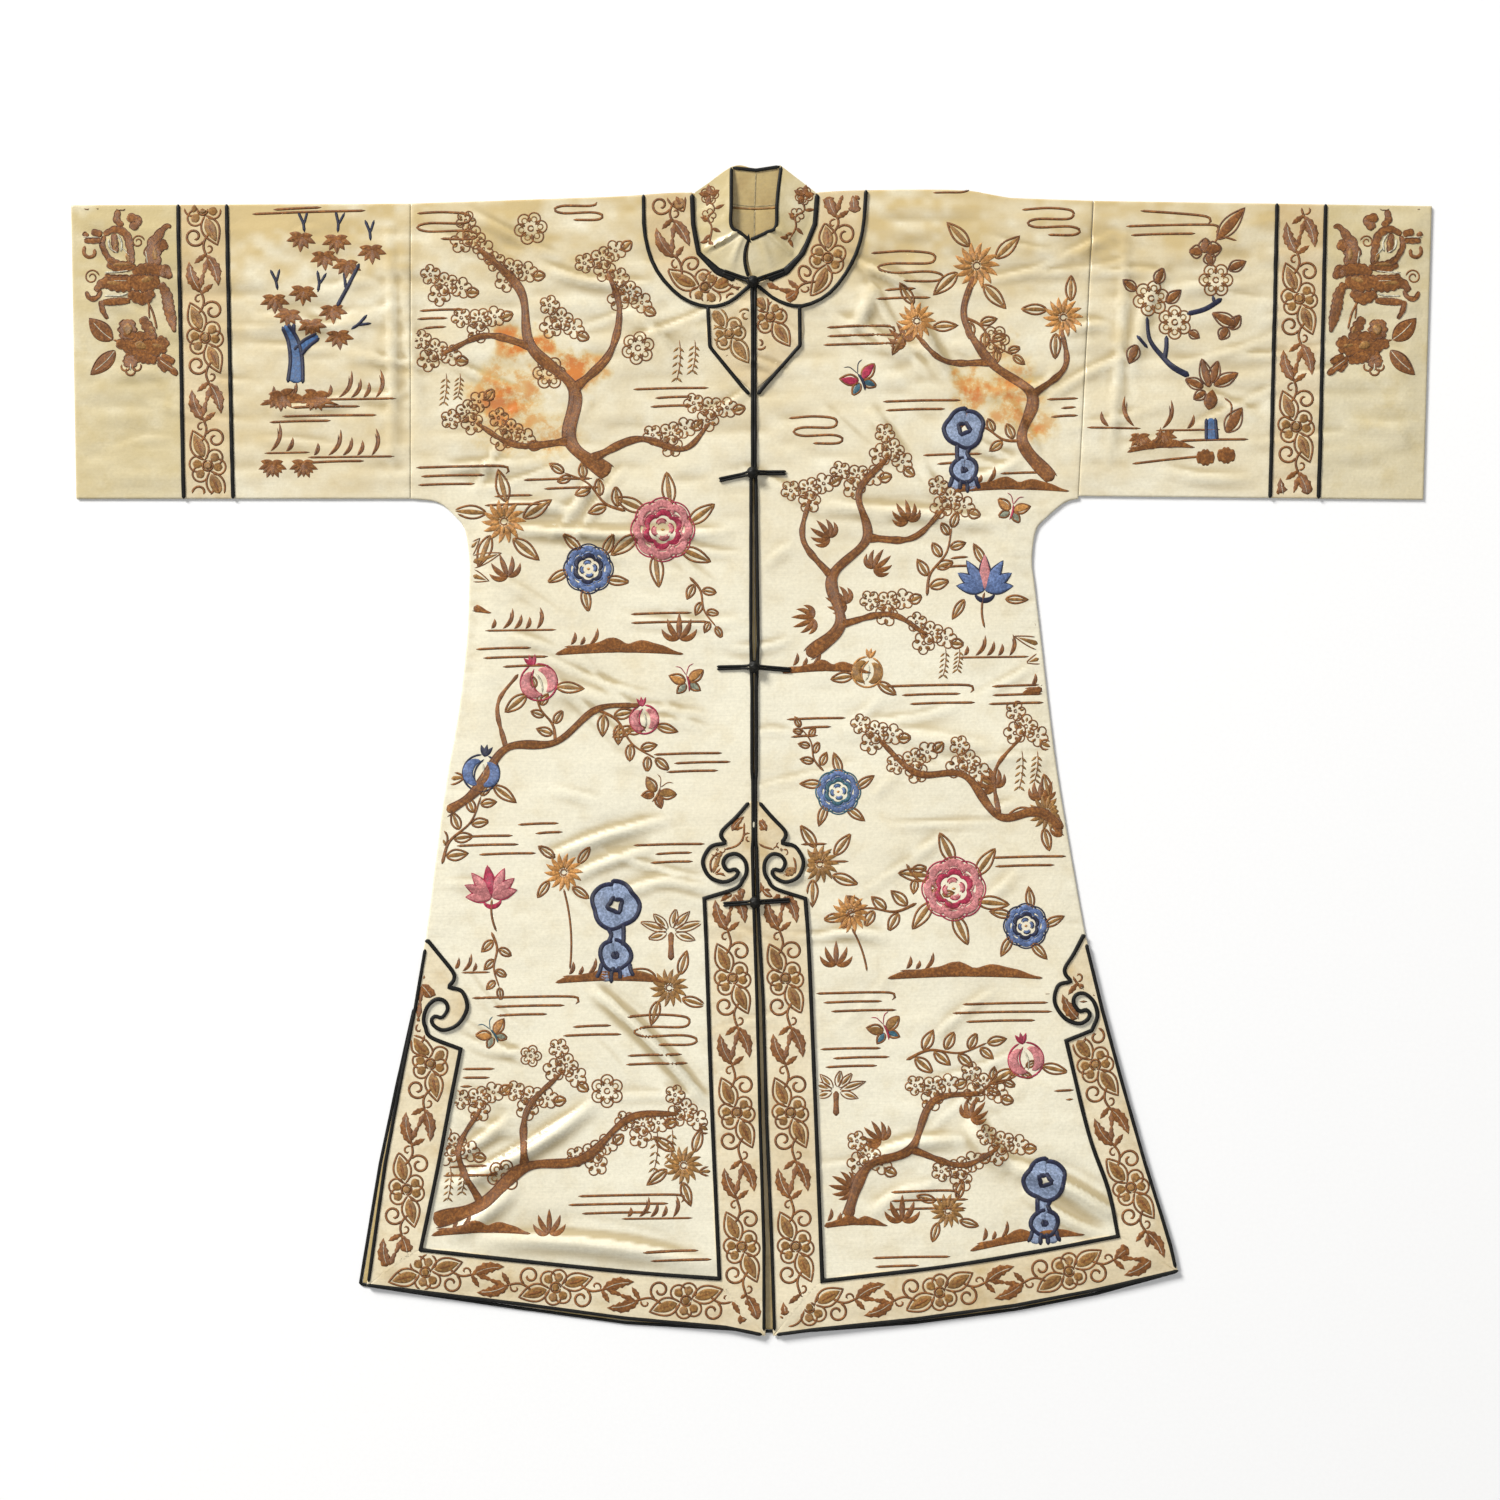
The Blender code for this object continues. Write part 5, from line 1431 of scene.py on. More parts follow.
def ribbons(strokes, kind, surface, names):
    """Points, faces, length map and thread numbers of all strokes of one kind. Across a stroke its section
    is an arch over the surface, closed under it; at both ends the arch shrinks to a rounded tip."""
    side, rise = SECTIONS[kind]
    wide = len(side)
    count = np.array([len(path) for path, *_ in strokes])
    path = np.concatenate([line for line, *_ in strokes])
    half = np.concatenate([line for _, line, *_ in strokes])
    owner = np.repeat(np.arange(len(strokes)), count)
    first = np.concatenate([[0], np.cumsum(count)[:-1]])
    last = np.cumsum(count) - 1
    run = np.roll(path, -1) - path
    run[last] = run[last - 1]
    before = np.roll(run, 1)
    before[first] = run[first]
    way = run / np.maximum(np.abs(run), 1e-9) + before / np.maximum(np.abs(before), 1e-9)
    way = way / np.maximum(np.abs(way), 1e-9)
    gone = np.concatenate([[0], np.cumsum(np.abs(np.roll(path, -1) - path))[:-1]])
    length = gone - gone[first][owner]
    rest = gone[last][owner] - gone
    tip = np.clip(np.minimum(length, rest) / np.maximum(np.minimum(half, 1.2), 0.3), 0, 1)
    tip = 0.3 + 0.7 * np.sqrt(1 - (1 - tip) ** 2)
    height = np.array([entry[2] for entry in strokes])[owner] + 0.011 * (owner % 13)
    across = path[:, None] + 1j * way[:, None] * (half * tip)[:, None] * side
    level = surface(across.ravel()).reshape(across.shape) + rise * (height * tip)[:, None] - 0.05
    points = np.stack([across.real, across.imag, level], axis=2).reshape(-1, 3)
    joint = np.ones(len(path), bool)
    joint[last] = False
    base = (np.flatnonzero(joint) * wide)[:, None]
    ring = np.arange(wide)
    after = (ring + 1) % wide
    quads = np.stack([base + ring, base + ring + wide, base + after + wide, base + after], axis=2)
    faces = [quads.reshape(-1, 4), first[:, None] * wide + ring, (last[:, None] * wide + ring)[:, ::-1]]
    thread = np.array([names.index(entry[3]) for entry in strokes])
    index = np.concatenate([np.repeat(thread[owner[joint]], wide), thread, thread])
    uv = np.stack([np.repeat(length[:, None], wide, 1), side * half[:, None]], axis=2).reshape(-1, 2)
    return points, faces, uv, index


def embroider(name, strokes, surface):
    """One mesh piece from all strokes of a panel, with one material for each thread."""
    names = sorted({entry[3] for entry in strokes})
    strokes = [entry for entry in fine(strokes) if len(entry[0]) > 1]
    parts, index = [], []
    limits = (0, CORD_HALF, FILL_HALF, math.inf)
    for kind, least, most in zip(SECTIONS, limits, limits[1:]):
        chosen = [entry for entry in strokes if least < entry[1].max() <= most]
        if chosen:
            points, faces, uv, number = ribbons(chosen, kind, surface, names)
            parts.append((points, faces, uv))
            index.append(number)
    points, faces, uv = joined(parts)
    materials = [material("thread_" + thread) for thread in names]
    return new_piece(name, points, faces, materials, uv=uv, index=np.concatenate(index), sharp=180)


def on_cloth(points):
    """Upper side of the laid cloth."""
    return FRONT[1] + lay(points)


def on_strip(points):
    """Upper side of the applied strips."""
    return STRIP[1] + lay(points)


# Motifs of the field, each about its own middle or foot, in millimetres

def crescent(centre, radius, start, end, width, thread):
    """A filled arc that is widest in its middle."""
    full = width * np.sin(np.linspace(0.06, np.pi - 0.06, 13)) ** 0.7
    return stroke(arc(centre, radius, start, end), full, thread, step=1.4)


def peony(outer="crimson", inner="pink", eye="orange"):
    """A full flower seen from the front: three rings of petals, each a filled arc with its line."""
    parts = []
    for radius, count, width, shift, thread in (
        (17.5, 8, 7.5, 0, inner), (11.5, 6, 6, 25, outer), (6, 4, 4.6, 10, inner),
    ):
        for angle in shift + np.arange(count) * 360 / count:
            way = way_of(angle)
            half = radius * 0.46
            parts.append(crescent(way * radius * 0.62, half, angle - 88, angle + 88, width * 0.8, thread))
            edge = outer if thread == inner else inner
            line = arc(way * radius * 0.62, half * 1.5, angle - 72, angle + 72)
            parts.append(stroke(line, 1.7, edge, 0.7, 1.4))
    parts.append(stroke([-1.5, 1.5], 3.2, eye, 0.7))
    return parts


def leafy(strokes, radius, count, size, turn):
    """Leaves that stand out round a flower, under it."""
    parts = []
    for angle in turn + np.arange(count) * 360 / count:
        way = way_of(angle)
        parts += leaf(way * radius * 0.9, way * (radius + size) * np.exp(0.25j), size * 0.42)
    return parts + strokes


def daisy(thread="orange", edge="tan"):
    """A chrysanthemum: two rings of narrow petals round a knot."""
    parts = []
    for radius, count, shift, color, height in ((19, 14, 0, thread, 0.5), (12, 10, 12, edge, 0.6)):
        for angle in shift + np.arange(count) * 360 / count:
            way = way_of(angle)
            parts.append(blade(way * 3.5, way * radius, radius * 0.27, color, 0.08, height=height))
    parts.append(stroke(arc(0, 3, 0, 350, 12), 1.6, "brown", 0.8, 1.2))
    return parts


def lotus(petal="blue", edge="navy", heart="pink"):
    """A lotus from the side: seven petals in a fan, each filled and lined, on a short stem."""
    parts = [stroke(bent(-34j, -4j, 0.08), 2.6, "brown", 0.6)]
    for angle, size in ((8, 24), (172, 24), (32, 27), (148, 27), (58, 29), (122, 29), (90, 30)):
        way = way_of(angle)
        parts.append(blade(-2j, -2j + way * size, 9.5, heart if angle == 90 else petal, height=0.45))
        parts.append(stroke(drop(-2j, -2j + way * size, 5.2), 1.5, edge, 0.65, 1.6))
    parts.append(crescent(-2j, 9, 200, 340, 5, edge))
    return parts


def pomegranate(skin="crimson", light="pink"):
    """A round fruit in two bowed halves, split over a row of seeds, with its crown and two leaves."""
    parts = leaf(-13-6j, -36-14j, 10) + leaf(12-8j, 34-18j, 9)
    parts.append(crescent(-1.5, 10, 95, 275, 9.5, light))
    parts.append(crescent(1.5, 10, -80, 82, 9.5, light))
    parts.append(stroke(arc(0, 15.5, 100, 440, 34), 2.2, skin, 0.7, 1.5))
    parts.append(stroke(bent(-13j, 12j, 0.22), 2, skin, 0.75))
    parts.append(stroke(bent(-9j, 8j, -0.12), 2.2, "cream", 0.6))
    for turn in (62, 90, 118):
        parts.append(blade(14j, 14j + 11 * way_of(turn), 4.2, skin))
    return parts


def rock():
    """A pierced garden stone: a ragged ring on a knotted stem, a small ring under it and two feet."""
    parts = []
    for line, widths in (
        (arc(0, 12.5, 92, 462, 40), np.tile([10, 15, 17], 4)), ([-16j, 2-25j, -34j], [14, 10, 13]),
        (arc(-42j, 7.5, 92, 462, 24), np.tile([9, 12.5], 4)), ([-6-49j, -10-64j], [11, 10, 14]),
        ([7-49j, 10-62j], [10, 9, 13]),
    ):
        parts += edged(line, widths, "pale_blue", "navy", 5)
    return parts


def butterfly(wing="orange", edge="crimson", tail="sage"):
    """A butterfly with four filled wings, a body and two feelers."""
    parts = []
    for angle, size, thread in ((28, 19, wing), (150, 18, wing), (-42, 14, tail), (216, 14, tail)):
        way = way_of(angle)
        parts.append(blade(way * 2, way * size, size * 0.42, thread, 0.06))
        parts.append(stroke(drop(way * 2, way * size * 1.04, size * 0.26), CORD, "brown", 0.6, 1.4))
    parts.append(stroke(bent(7j, -9j, 0.1), (2, 3.2, 2), edge, 0.75))
    for side in (-1, 1):
        parts.append(stroke(flow([7j, side * 4 + 15j, side * 9 + 17j]), 1.1, edge, 0.5, 1.3))
    return parts


def mist(width, rows, hook):
    """Still water or mist: level lines of unlike lengths, the first of them with a hook at its end."""
    parts = []
    for k in range(rows):
        start = 9 * math.sin(2.1 * k + width) + 6 * k
        end = width - 14 * math.sin(1.3 * k + 0.4 * width)
        level = -8.5 * k
        line = [start + level * 1j, (start + end) / 2 + (level + 1.2) * 1j, end + (level + 1.5) * 1j]
        if hook and k == 0:
            line += [end + 7 + (level - 2) * 1j, end + 4 + (level - 6) * 1j]
        parts.append(stroke(flow(line), 2.9, "brown", 0.5, 2.4))
    return parts


def coil(width):
    """Drifting cloud: one cord laid to and fro in flat loops with round turns."""
    w = width
    line = [0, w * 0.5 + 2j, w * 0.92, w - 5j, w * 0.88 - 10j, w * 0.3 - 10j, w * 0.1 - 14.5j, w * 0.3 - 19j]
    line += [w * 0.9 - 18j, w * 1.12 - 22j, w - 27j, w * 0.5 - 27j]
    return [stroke(flow(line), 2.9, "brown", 0.5, 1.8)]


def reeds(count, gap=11, size=19):
    """A row of grass blades that lean over, with a level line at their foot."""
    parts = []
    for k in range(count):
        tall = size * (0.8 + 0.3 * math.sin(2.3 * k + count))
        foot = k * gap
        tip = foot + (0.3 + 0.2 * math.sin(k)) * tall + 1j * tall
        parts.append(blade(foot, tip, 4.6, "brown", -0.16))
        parts.append(stroke(bent(foot, 0.2 * foot + 0.8 * tip, -0.14), 1.1, "dark", 0.8))
    parts.append(stroke([-6-2j, count * gap + 8 - 1j], CORD, "brown", 0.5, 2.6))
    return parts


def bank(width, tall):
    """A low bank of earth: a filled brown lens with a ragged top, darker strokes on it, and tufts."""
    share = np.linspace(0, 1, 25)
    ragged = 0.9 + 0.16 * np.sin(19 * share) + 0.1 * np.sin(31 * share)
    full = tall * np.sin(np.pi * np.clip(share, 0.02, 0.98)) ** 0.6 * ragged
    line = width * share + 1j * (full * 0.5 + 2.5 * np.sin(3 * share))
    parts = [stroke(line, full, "brown", 0.32, 1.6)]
    for k in range(3):
        at = width * (0.2 + 0.2 * k) + 1j * tall * (0.25 + 0.12 * (k % 2))
        parts.append(stroke(bent(at, at + width * 0.2, 0.06), 1.6, "dark", 0.72))
    return parts + put(reeds(3, 9, 15), width * 0.12 + 1j * tall * 0.75)


def fan_leaves(size, count=5):
    """A tuft of pointed leaves that spread from one foot."""
    parts = []
    for k in range(count):
        angle = math.radians(90 + (k - (count - 1) / 2) * 150 / count)
        reach = size * (1 - 0.12 * abs(k - (count - 1) / 2))
        parts.append(blade(0, reach * np.exp(1j * angle), size * 0.24, "brown", 0.1 * (k - (count - 1) / 2)))
    return parts


def plantain(size):
    """A broad-leaved plant: long leaves with a line round them that bow out from a scaly stem."""
    parts = [stroke([-size * 0.8j, 0], (7, 5, 6.5), "brown", 0.6)]
    for angle, reach in ((18, 1), (162, 0.95), (48, 0.8), (134, 0.75), (78, 0.7), (-18, 0.75), (196, 0.7)):
        way = way_of(angle)
        tip = way * size * reach
        parts.append(stroke(drop(way * 4, tip, size * 0.12), 1.5, "brown", 0.6, 1.6))
        parts.append(blade(way * 8, tip * 0.92, size * 0.11, "tan", 0, height=0.45))
    return parts


def bough(points, start, end):
    """A branch along a curve through its points: it tapers, has knots, and darker and lighter streaks."""
    line = resample(flow([complex(*point) for point in points]), 2)
    share = np.linspace(0, 1, len(line))
    knots = 1.08 + 0.16 * np.sin(23 * share + start) + 0.09 * np.sin(41 * share)
    full = (start + (end - start) * share) * knots
    side = side_steps(line) * full
    parts = [stroke(line, full, "brown", 0.4, 1.8)]
    for aside, color, first in ((-0.46, "dark", 0), (0.46, "dark", 0), (0.14, "dark", 5), (-0.16, "tan", 3)):
        if start > 5:
            parts.append(stroke((line + aside * side)[first:-4], 1.5, color, 0.8, 1.8))
    return parts


def cluster():
    """Four small flowers side by side, with a leaf."""
    size = 11
    parts = leaf(size * 1.2 - size * 1.3j, size * 2.2 - size * 2j, size * 0.9)
    for k in range(4):
        at = size * 1.02 * (0.35 + 0.48 * k) * np.exp(1j * (0.9 + 2.4 * k))
        flower = rosette(size * (1 - 0.05 * k), turn=20 * k, double=False)
        for angle in np.arange(5) * 72:
            way = way_of(angle) * size
            flower.append(blade(0.36 * way, 0.84 * way, 0.3 * size, "tan", height=0.4))
        parts += put(flower, at)
    return parts


def spray(reach, leaves):
    """A thin stem with leaves on both sides in turn and one at its end."""
    stem = flow([0, reach * (0.3+0.06j), reach * (0.65-0.05j), reach])
    parts = [stroke(stem, (3.6, 2.4, 1.8), "brown", 0.55, 1.9)]
    for k in range(leaves):
        at = np.interp((k + 0.8) / (leaves + 0.6), np.linspace(0, 1, len(stem)), stem)
        way = np.exp(1j * math.radians(52 if k % 2 else -52))
        size = reach * 0.26 * (1 - 0.35 * k / leaves) + 4
        parts += leaf(at + way * 2, at + way * size, size * 0.44)
    return parts + leaf(reach, reach * 1.24, reach * 0.11)


def hanging(size):
    """Two drooping sprays of small paired leaves."""
    parts = []
    for shift, reach in ((0, 1), (15, 0.8)):
        parts.append(stroke(bent(shift, shift - 3 - 1j * size * reach, 0.06), 1.2, "brown", 0.5, 2))
        for k in range(1, 6):
            at = shift - 0.5 * k - 1j * size * reach * k / 5.5
            for side in (-1, 1):
                parts.append(blade(at, at + side * 5.5 - 5j, 2.8, "tan"))
    return parts


def place_motifs(rows):
    """The strokes of a table of motifs: motif, place and, where needed, turn, scale and side."""
    return [entry for motif, x, y, *rest in rows for entry in put(motif, complex(x, y), *rest)]


def left_field():
    """Layout of the left front: plum bough over the chest, peony, lotus, fruit, stone and water below it."""
    parts = []
    for points, start, end in (
        (((-138, 268), (-176, 300), (-172, 350), (-214, 392), (-224, 446), (-266, 488)), 14, 5),
        (((-172, 350), (-138, 384), (-128, 428), (-140, 466)), 8, 3.5),
        (((-214, 392), (-258, 402), (-300, 384)), 7, 3), (((-176, 300), (-228, 296), (-268, 318)), 7, 3),
        (((-156, 282), (-110, 302), (-66, 292), (-40, 318)), 8, 3),
        (((-300, -62), (-268, -40), (-238, 2), (-190, 8), (-150, 40), (-108, 44)), 9, 4),
        (((-238, 2), (-246, 44), (-226, 74)), 5, 3),
        (((-308, -456), (-262, -440), (-220, -404), (-164, -396), (-118, -356), (-70, -352)), 13, 4),
        (((-220, -404), (-218, -350), (-184, -312)), 7, 3),
        (((-262, -440), (-284, -390), (-262, -346)), 6, 3),
    ):
        parts += bough(points, start, end)
    small, large, trio = rosette(10), rosette(14, 6), cluster()
    rows = [(trio, *place) for place in (
        (-272, 494, 0), (-232, 462, 40), (-142, 474, 80), (-120, 440, 10), (-306, 384, 30),
        (-262, 414, 60), (-272, 326, 90), (-234, 306, 20), (-38, 328, 50), (-76, 304, 70), (-186, 414, 15),
        (-296, 448, 35), (-182, -308, 0), (-212, -340, 45), (-262, -340, 70), (-288, -386, 25),
        (-66, -352, 10), (-104, -366, 55), (-150, -392, 80),
    )]
    rows += [(large, x, y, turn, 1.15) for x, y, turn in (
        (-196, 366, 0), (-110, 390, 20), (-214, 506, 10), (-240, -412, 15), (-140, -330, 30),
    )]
    rows += [
        (leafy(peony(), 20, 6, 22, 12), -86, 214, 0, 1.35),
        (leafy(peony("navy", "blue"), 20, 5, 20, 40), -158, 176, 0, 1.05), (spray(70, 6), -122, 232, 148),
        (spray(60, 5), -60, 168, -62, 0.9), (bank(124, 14), -190, 92), (reeds(5), -252, 118),
        (fan_leaves(26), -70, 108), (fan_leaves(22), -236, 168, 20, 1.1),
        (leafy(daisy(), 18, 5, 26, 10), -240, 222, 0, 1.15), (plantain(50), -290, 176),
        (bank(70, 11), -322, 132), (leafy(daisy("tan", "tan"), 18, 4, 22, 50), -80, -230),
        (leafy(daisy("tan", "orange"), 18, 5, 22, 50), -66, -402), (hanging(42), -92, -366),
        (hanging(38), -292, -402, 0, 0.9), (spray(76, 7), -300, -110, 60),
        (pomegranate(), -206, 66, 20, 1.15), (pomegranate("navy", "blue"), -262, -22, -12, 1.15),
        (pomegranate("crimson", "pink"), -104, 30, 8, 0.9), (spray(74, 7), -150, 40, -40),
        (spray(56, 5), -190, 8, -70, 1, True), (butterfly(), -62, 66, 10),
        (butterfly("tan", "brown", "brown"), -92, -42, -30), (rock(), -132, -150, 0, 1.15),
        (bank(110, 12), -190, -226), (leafy(daisy(), 18, 4, 18, 30), -182, -118),
        (stroke_stem(-182-134j, -176-212j), 0, 0),
        (lotus("pink", "crimson", "crimson"), -252, -140, 8, 1.05), (spray(60, 5), -252, -176, -82, 0.9),
        (plantain(34), -78, -176), (reeds(4), -300, -214, 0, 0.9), (coil(60), -120, -258),
        (butterfly("orange", "teal", "sage"), -250, -276, 30, 0.95), (bank(96, 12), -310, -471, 1),
        (fan_leaves(24), -196, -468), (reeds(5), -120, -452), (small, -214, -296),
        (coil(64), -330, 520, 0, 0.9), (coil(58), -196, 536, 0, 0.8), (hanging(40), -70, 398),
        (hanging(34), -296, 366, 0, 0.9),
    ]
    rows += [(mist(wide, count, wide > 70), x, y) for x, y, wide, count in (
        (-330, 426, 46, 3), (-330, 274, 76, 3), (-108, 350, 62, 3), (-216, 262, 56, 2), (-124, 132, 70, 2),
        (-262, 98, 54, 3), (-90, -4, 56, 3), (-284, -84, 66, 3), (-224, -72, 50, 2), (-108, -92, 62, 3),
        (-262, -240, 74, 3), (-120, -296, 66, 2), (-320, -310, 58, 3), (-176, -432, 90, 3),
        (-300, -404, 40, 2), (-100, -486, 54, 2), (-256, 246, 40, 2), (-180, -268, 40, 2),
    )]
    return parts + place_motifs(rows)


def right_field():
    """Layout of the right front: orange flowers over the chest, leafed boughs, fruit, lotus and stone."""
    parts = []
    for points, start, end in (
        (((292, 262), (262, 300), (272, 344), (232, 376), (206, 420), (216, 462)), 12, 4),
        (((272, 344), (304, 372), (300, 410)), 6, 3), (((232, 376), (186, 378), (158, 404)), 6, 3),
        (((54, 92), (86, 122), (78, 168), (112, 206), (104, 250), (132, 284)), 12, 4),
        (((78, 168), (50, 204), (56, 244)), 6, 3), (((112, 206), (156, 206), (188, 236)), 7, 3),
        (((86, 122), (134, 132), (170, 112)), 6, 3),
        (((318, -92), (280, -60), (240, -64), (206, -24), (160, -22), (124, 10)), 9, 4),
        (((240, -64), (236, -20), (262, 14)), 5, 3),
        (((92, -452), (112, -404), (154, -386), (176, -340), (222, -332)), 10, 4),
        (((154, -386), (204, -402), (240, -384)), 6, 3),
    ):
        parts += bough(points, start, end)
    large, trio, tuft = rosette(14, 6), cluster(), fan_leaves(23, 6)
    rows = [(trio, *place) for place in (
        (134, 288, 0), (104, 262, 50), (192, 240, 20), (58, 250, 70), (174, 110, 30), (134, 140, 60),
        (264, 20, 10), (122, 14, 40), (160, -12, 80), (208, -14, 5), (224, -328, 20), (178, -330, 60),
        (244, -384, 40), (204, -408, 75), (112, -396, 15),
    )]
    rows += [(tuft, *place) for place in (
        (152, 222, 20), (76, 206, 50), (118, 176, -40), (92, 142, 60), (60, 128, 100), (236, -36, 30),
        (280, -48, -20), (304, -80, 10), (126, -378, 40), (212, -356, -30), (96, -424, 70), (150, 396, 40),
    )]
    rows += [
        (leafy(daisy(), 18, 4, 24, 20), 218, 470, 0, 1.2),
        (leafy(daisy(), 18, 4, 22, 65), 302, 420, 0, 1.05),
        (leafy(daisy("orange", "orange"), 18, 3, 22, 100), 160, 416), (spray(58, 5), 262, 300, 165),
        (spray(60, 6), 206, 420, -38), (rock(), 206, 312, 0, 0.95, True), (bank(112, 12), 196, 250),
        (butterfly("crimson", "navy", "teal"), 106, 358, 24, 1.1), (coil(62), 116, 482),
        (coil(52), 36, 322, 0, 0.9), (coil(56), 262, 524, 0, 0.9),
        (leafy(lotus(), 22, 3, 16, 210), 226, 158, 0, 1.15), (reeds(5), 206, 92), (bank(86, 11), 30, 74),
        (pomegranate("orange", "tan"), 112, 76, -10, 0.95),
        (butterfly("orange", "crimson", "sage"), 252, 232, -14, 0.95),
        (leafy(peony("teal", "blue", "orange"), 20, 5, 20, 10), 84, -40, 0, 0.95),
        (spray(60, 6), 70, -20, 118, 0.8),
        (leafy(peony("crimson", "pink"), 20, 6, 22, 30), 196, -134, 0, 1.35),
        (leafy(peony("navy", "blue"), 20, 5, 20, 0), 266, -170, 0, 0.95), (spray(74, 6), 160, -148, 190),
        (spray(58, 5), 150, -110, 136, 0.9, True), (bank(150, 14), 132, -222), (daisy(), 96, -158),
        (stroke_stem(97-172j, 112-214j), 0, 0), (fan_leaves(24), 82, -208),
        (butterfly("tan", "crimson", "teal"), 130, -272, 20),
        (pomegranate("crimson", "pink"), 266, -300, 12, 1.1), (spray(56, 5), 222, -332, 30, 0.9),
        (rock(), 284, -416, 0, 1, True), (bank(112, 12), 212, -486, 8), (bank(66, 10), 66, -464, 2),
        (leafy(daisy("tan", "tan"), 18, 4, 20, 50), 190, -446, 0, 0.9), (plantain(30), 82, -330),
        (hanging(38), 262, 0), (hanging(32), 188, 100, 0, 0.9), (large, 236, 398),
        (plantain(48), 300, 96, 0, 1, True), (bank(76, 11), 262, 54),
        (leafy(daisy("tan", "tan"), 18, 5, 24, 30), 66, -110),
        (leafy(daisy("tan", "tan"), 18, 4, 22, 80), 286, -60, 0, 0.95), (spray(80, 7), 150, -300, 12),
        (fan_leaves(26), 146, -456), (spray(70, 6), 170, 150, 70),
    ]
    rows += [(mist(wide, count, wide > 66), x, y) for x, y, wide, count in (
        (66, 410, 70, 3), (130, 338, 60, 2), (166, 286, 44, 2), (286, 340, 44, 3), (188, 186, 34, 2),
        (136, 62, 80, 3), (226, 62, 70, 3), (34, 30, 44, 3), (36, -92, 50, 3), (236, -104, 60, 2),
        (60, -236, 80, 3), (196, -246, 90, 3), (64, -290, 56, 3), (290, -236, 54, 3), (128, -428, 70, 3),
        (300, -330, 48, 3), (120, -492, 60, 2), (250, 268, 30, 2), (300, -20, 30, 3), (120, 446, 52, 2),
    )]
    return parts + place_motifs(rows)


def stroke_stem(start, end):
    """A plain stem between two places."""
    return [stroke(bent(start, end, 0.05), 2.4, "brown", 0.5)]


def leaf_fan(size=15.5, count=5):
    """Leaflets that hang in a fan, with two short ones above and a pale vein in each."""
    parts = []
    for k in range(count + 2):
        angle = -22 - 136 * k / (count - 1) if k < count else (12 if k == count else 168)
        way = way_of(angle)
        reach = size * (1 - 0.12 * (k % 2)) * (1 if k < count else 0.8)
        parts.append(blade(-way * size * 0.14, way * reach, size * 0.46, "brown"))
        parts.append(stroke([way * size * 0.3, way * reach * 0.85], 1.1, "tan", 0.75))
    return parts


def fork(size):
    """A bare dark twig that parts in two."""
    long = stroke([0, 1j * size * 0.5, size * (-0.2+1.15j)], 3.2, "navy", 0.7)
    return [long, stroke([1j * size * 0.4, size * (0.3+1.1j)], 2.9, "navy", 0.7)]


def left_sleeve():
    """The left sleeve's tree: blue trunk, bare twigs and hanging leaf fans, over a bank and reeds."""
    parts = edged([-442+356j, -441+378j, -444+396j, -452+412j], [15, 12, 10, 6], "denim", "navy", 4.2)
    parts += edged([-441+384j, -432+394j, -420+402j], [9, 8, 5], "denim", "navy", 3.8)
    parts += [
        stroke([-444+402j, -443+414j], 4, "navy", 0.7),
        stroke(flow([-402+430j, -392+448j, -380+472j]), 4, "navy", 0.7),
        stroke([-393+447j, -395+464j], 3.2, "navy", 0.7),
    ]
    fans = (
        (-436, 498), (-402, 496), (-368, 486), (-414, 480), (-392, 472), (-434, 446), (-462, 438),
        (-448, 424), (-406, 428), (-426, 414), (-400, 403),
    )
    forks = (
        (-433, 502, 8), (-401, 502, -4), (-369, 494, 6), (-459, 446, 10), (-420, 444, -8), (-388, 408, -58),
    )
    parts += place_motifs([(leaf_fan(), x, y, 7 * math.sin(x)) for x, y in fans])
    parts += place_motifs([(fork(18), *place) for place in forks])
    return parts + place_motifs([
        (bank(76, 9), -476, 334), (leaf_fan(17, 8), -456, 345, 10), (leaf_fan(17, 8), -422, 345, -10),
        (reeds(5, 12, 25), -412, 342), (mist(84, 2, False), -452, 332), (mist(70, 1, False), -474, 318),
        (leaf_fan(15, 7), -464, 278), (leaf_fan(15, 7), -434, 278), (reeds(2, 15, 26), -466, 290),
        (reeds(5, 14, 24), -424, 286), (mist(66, 1, False), -428, 279),
        (mist(112, 1, False), -476, 520, 1), (mist(84, 1, False), -470, 524, 1),
    ])


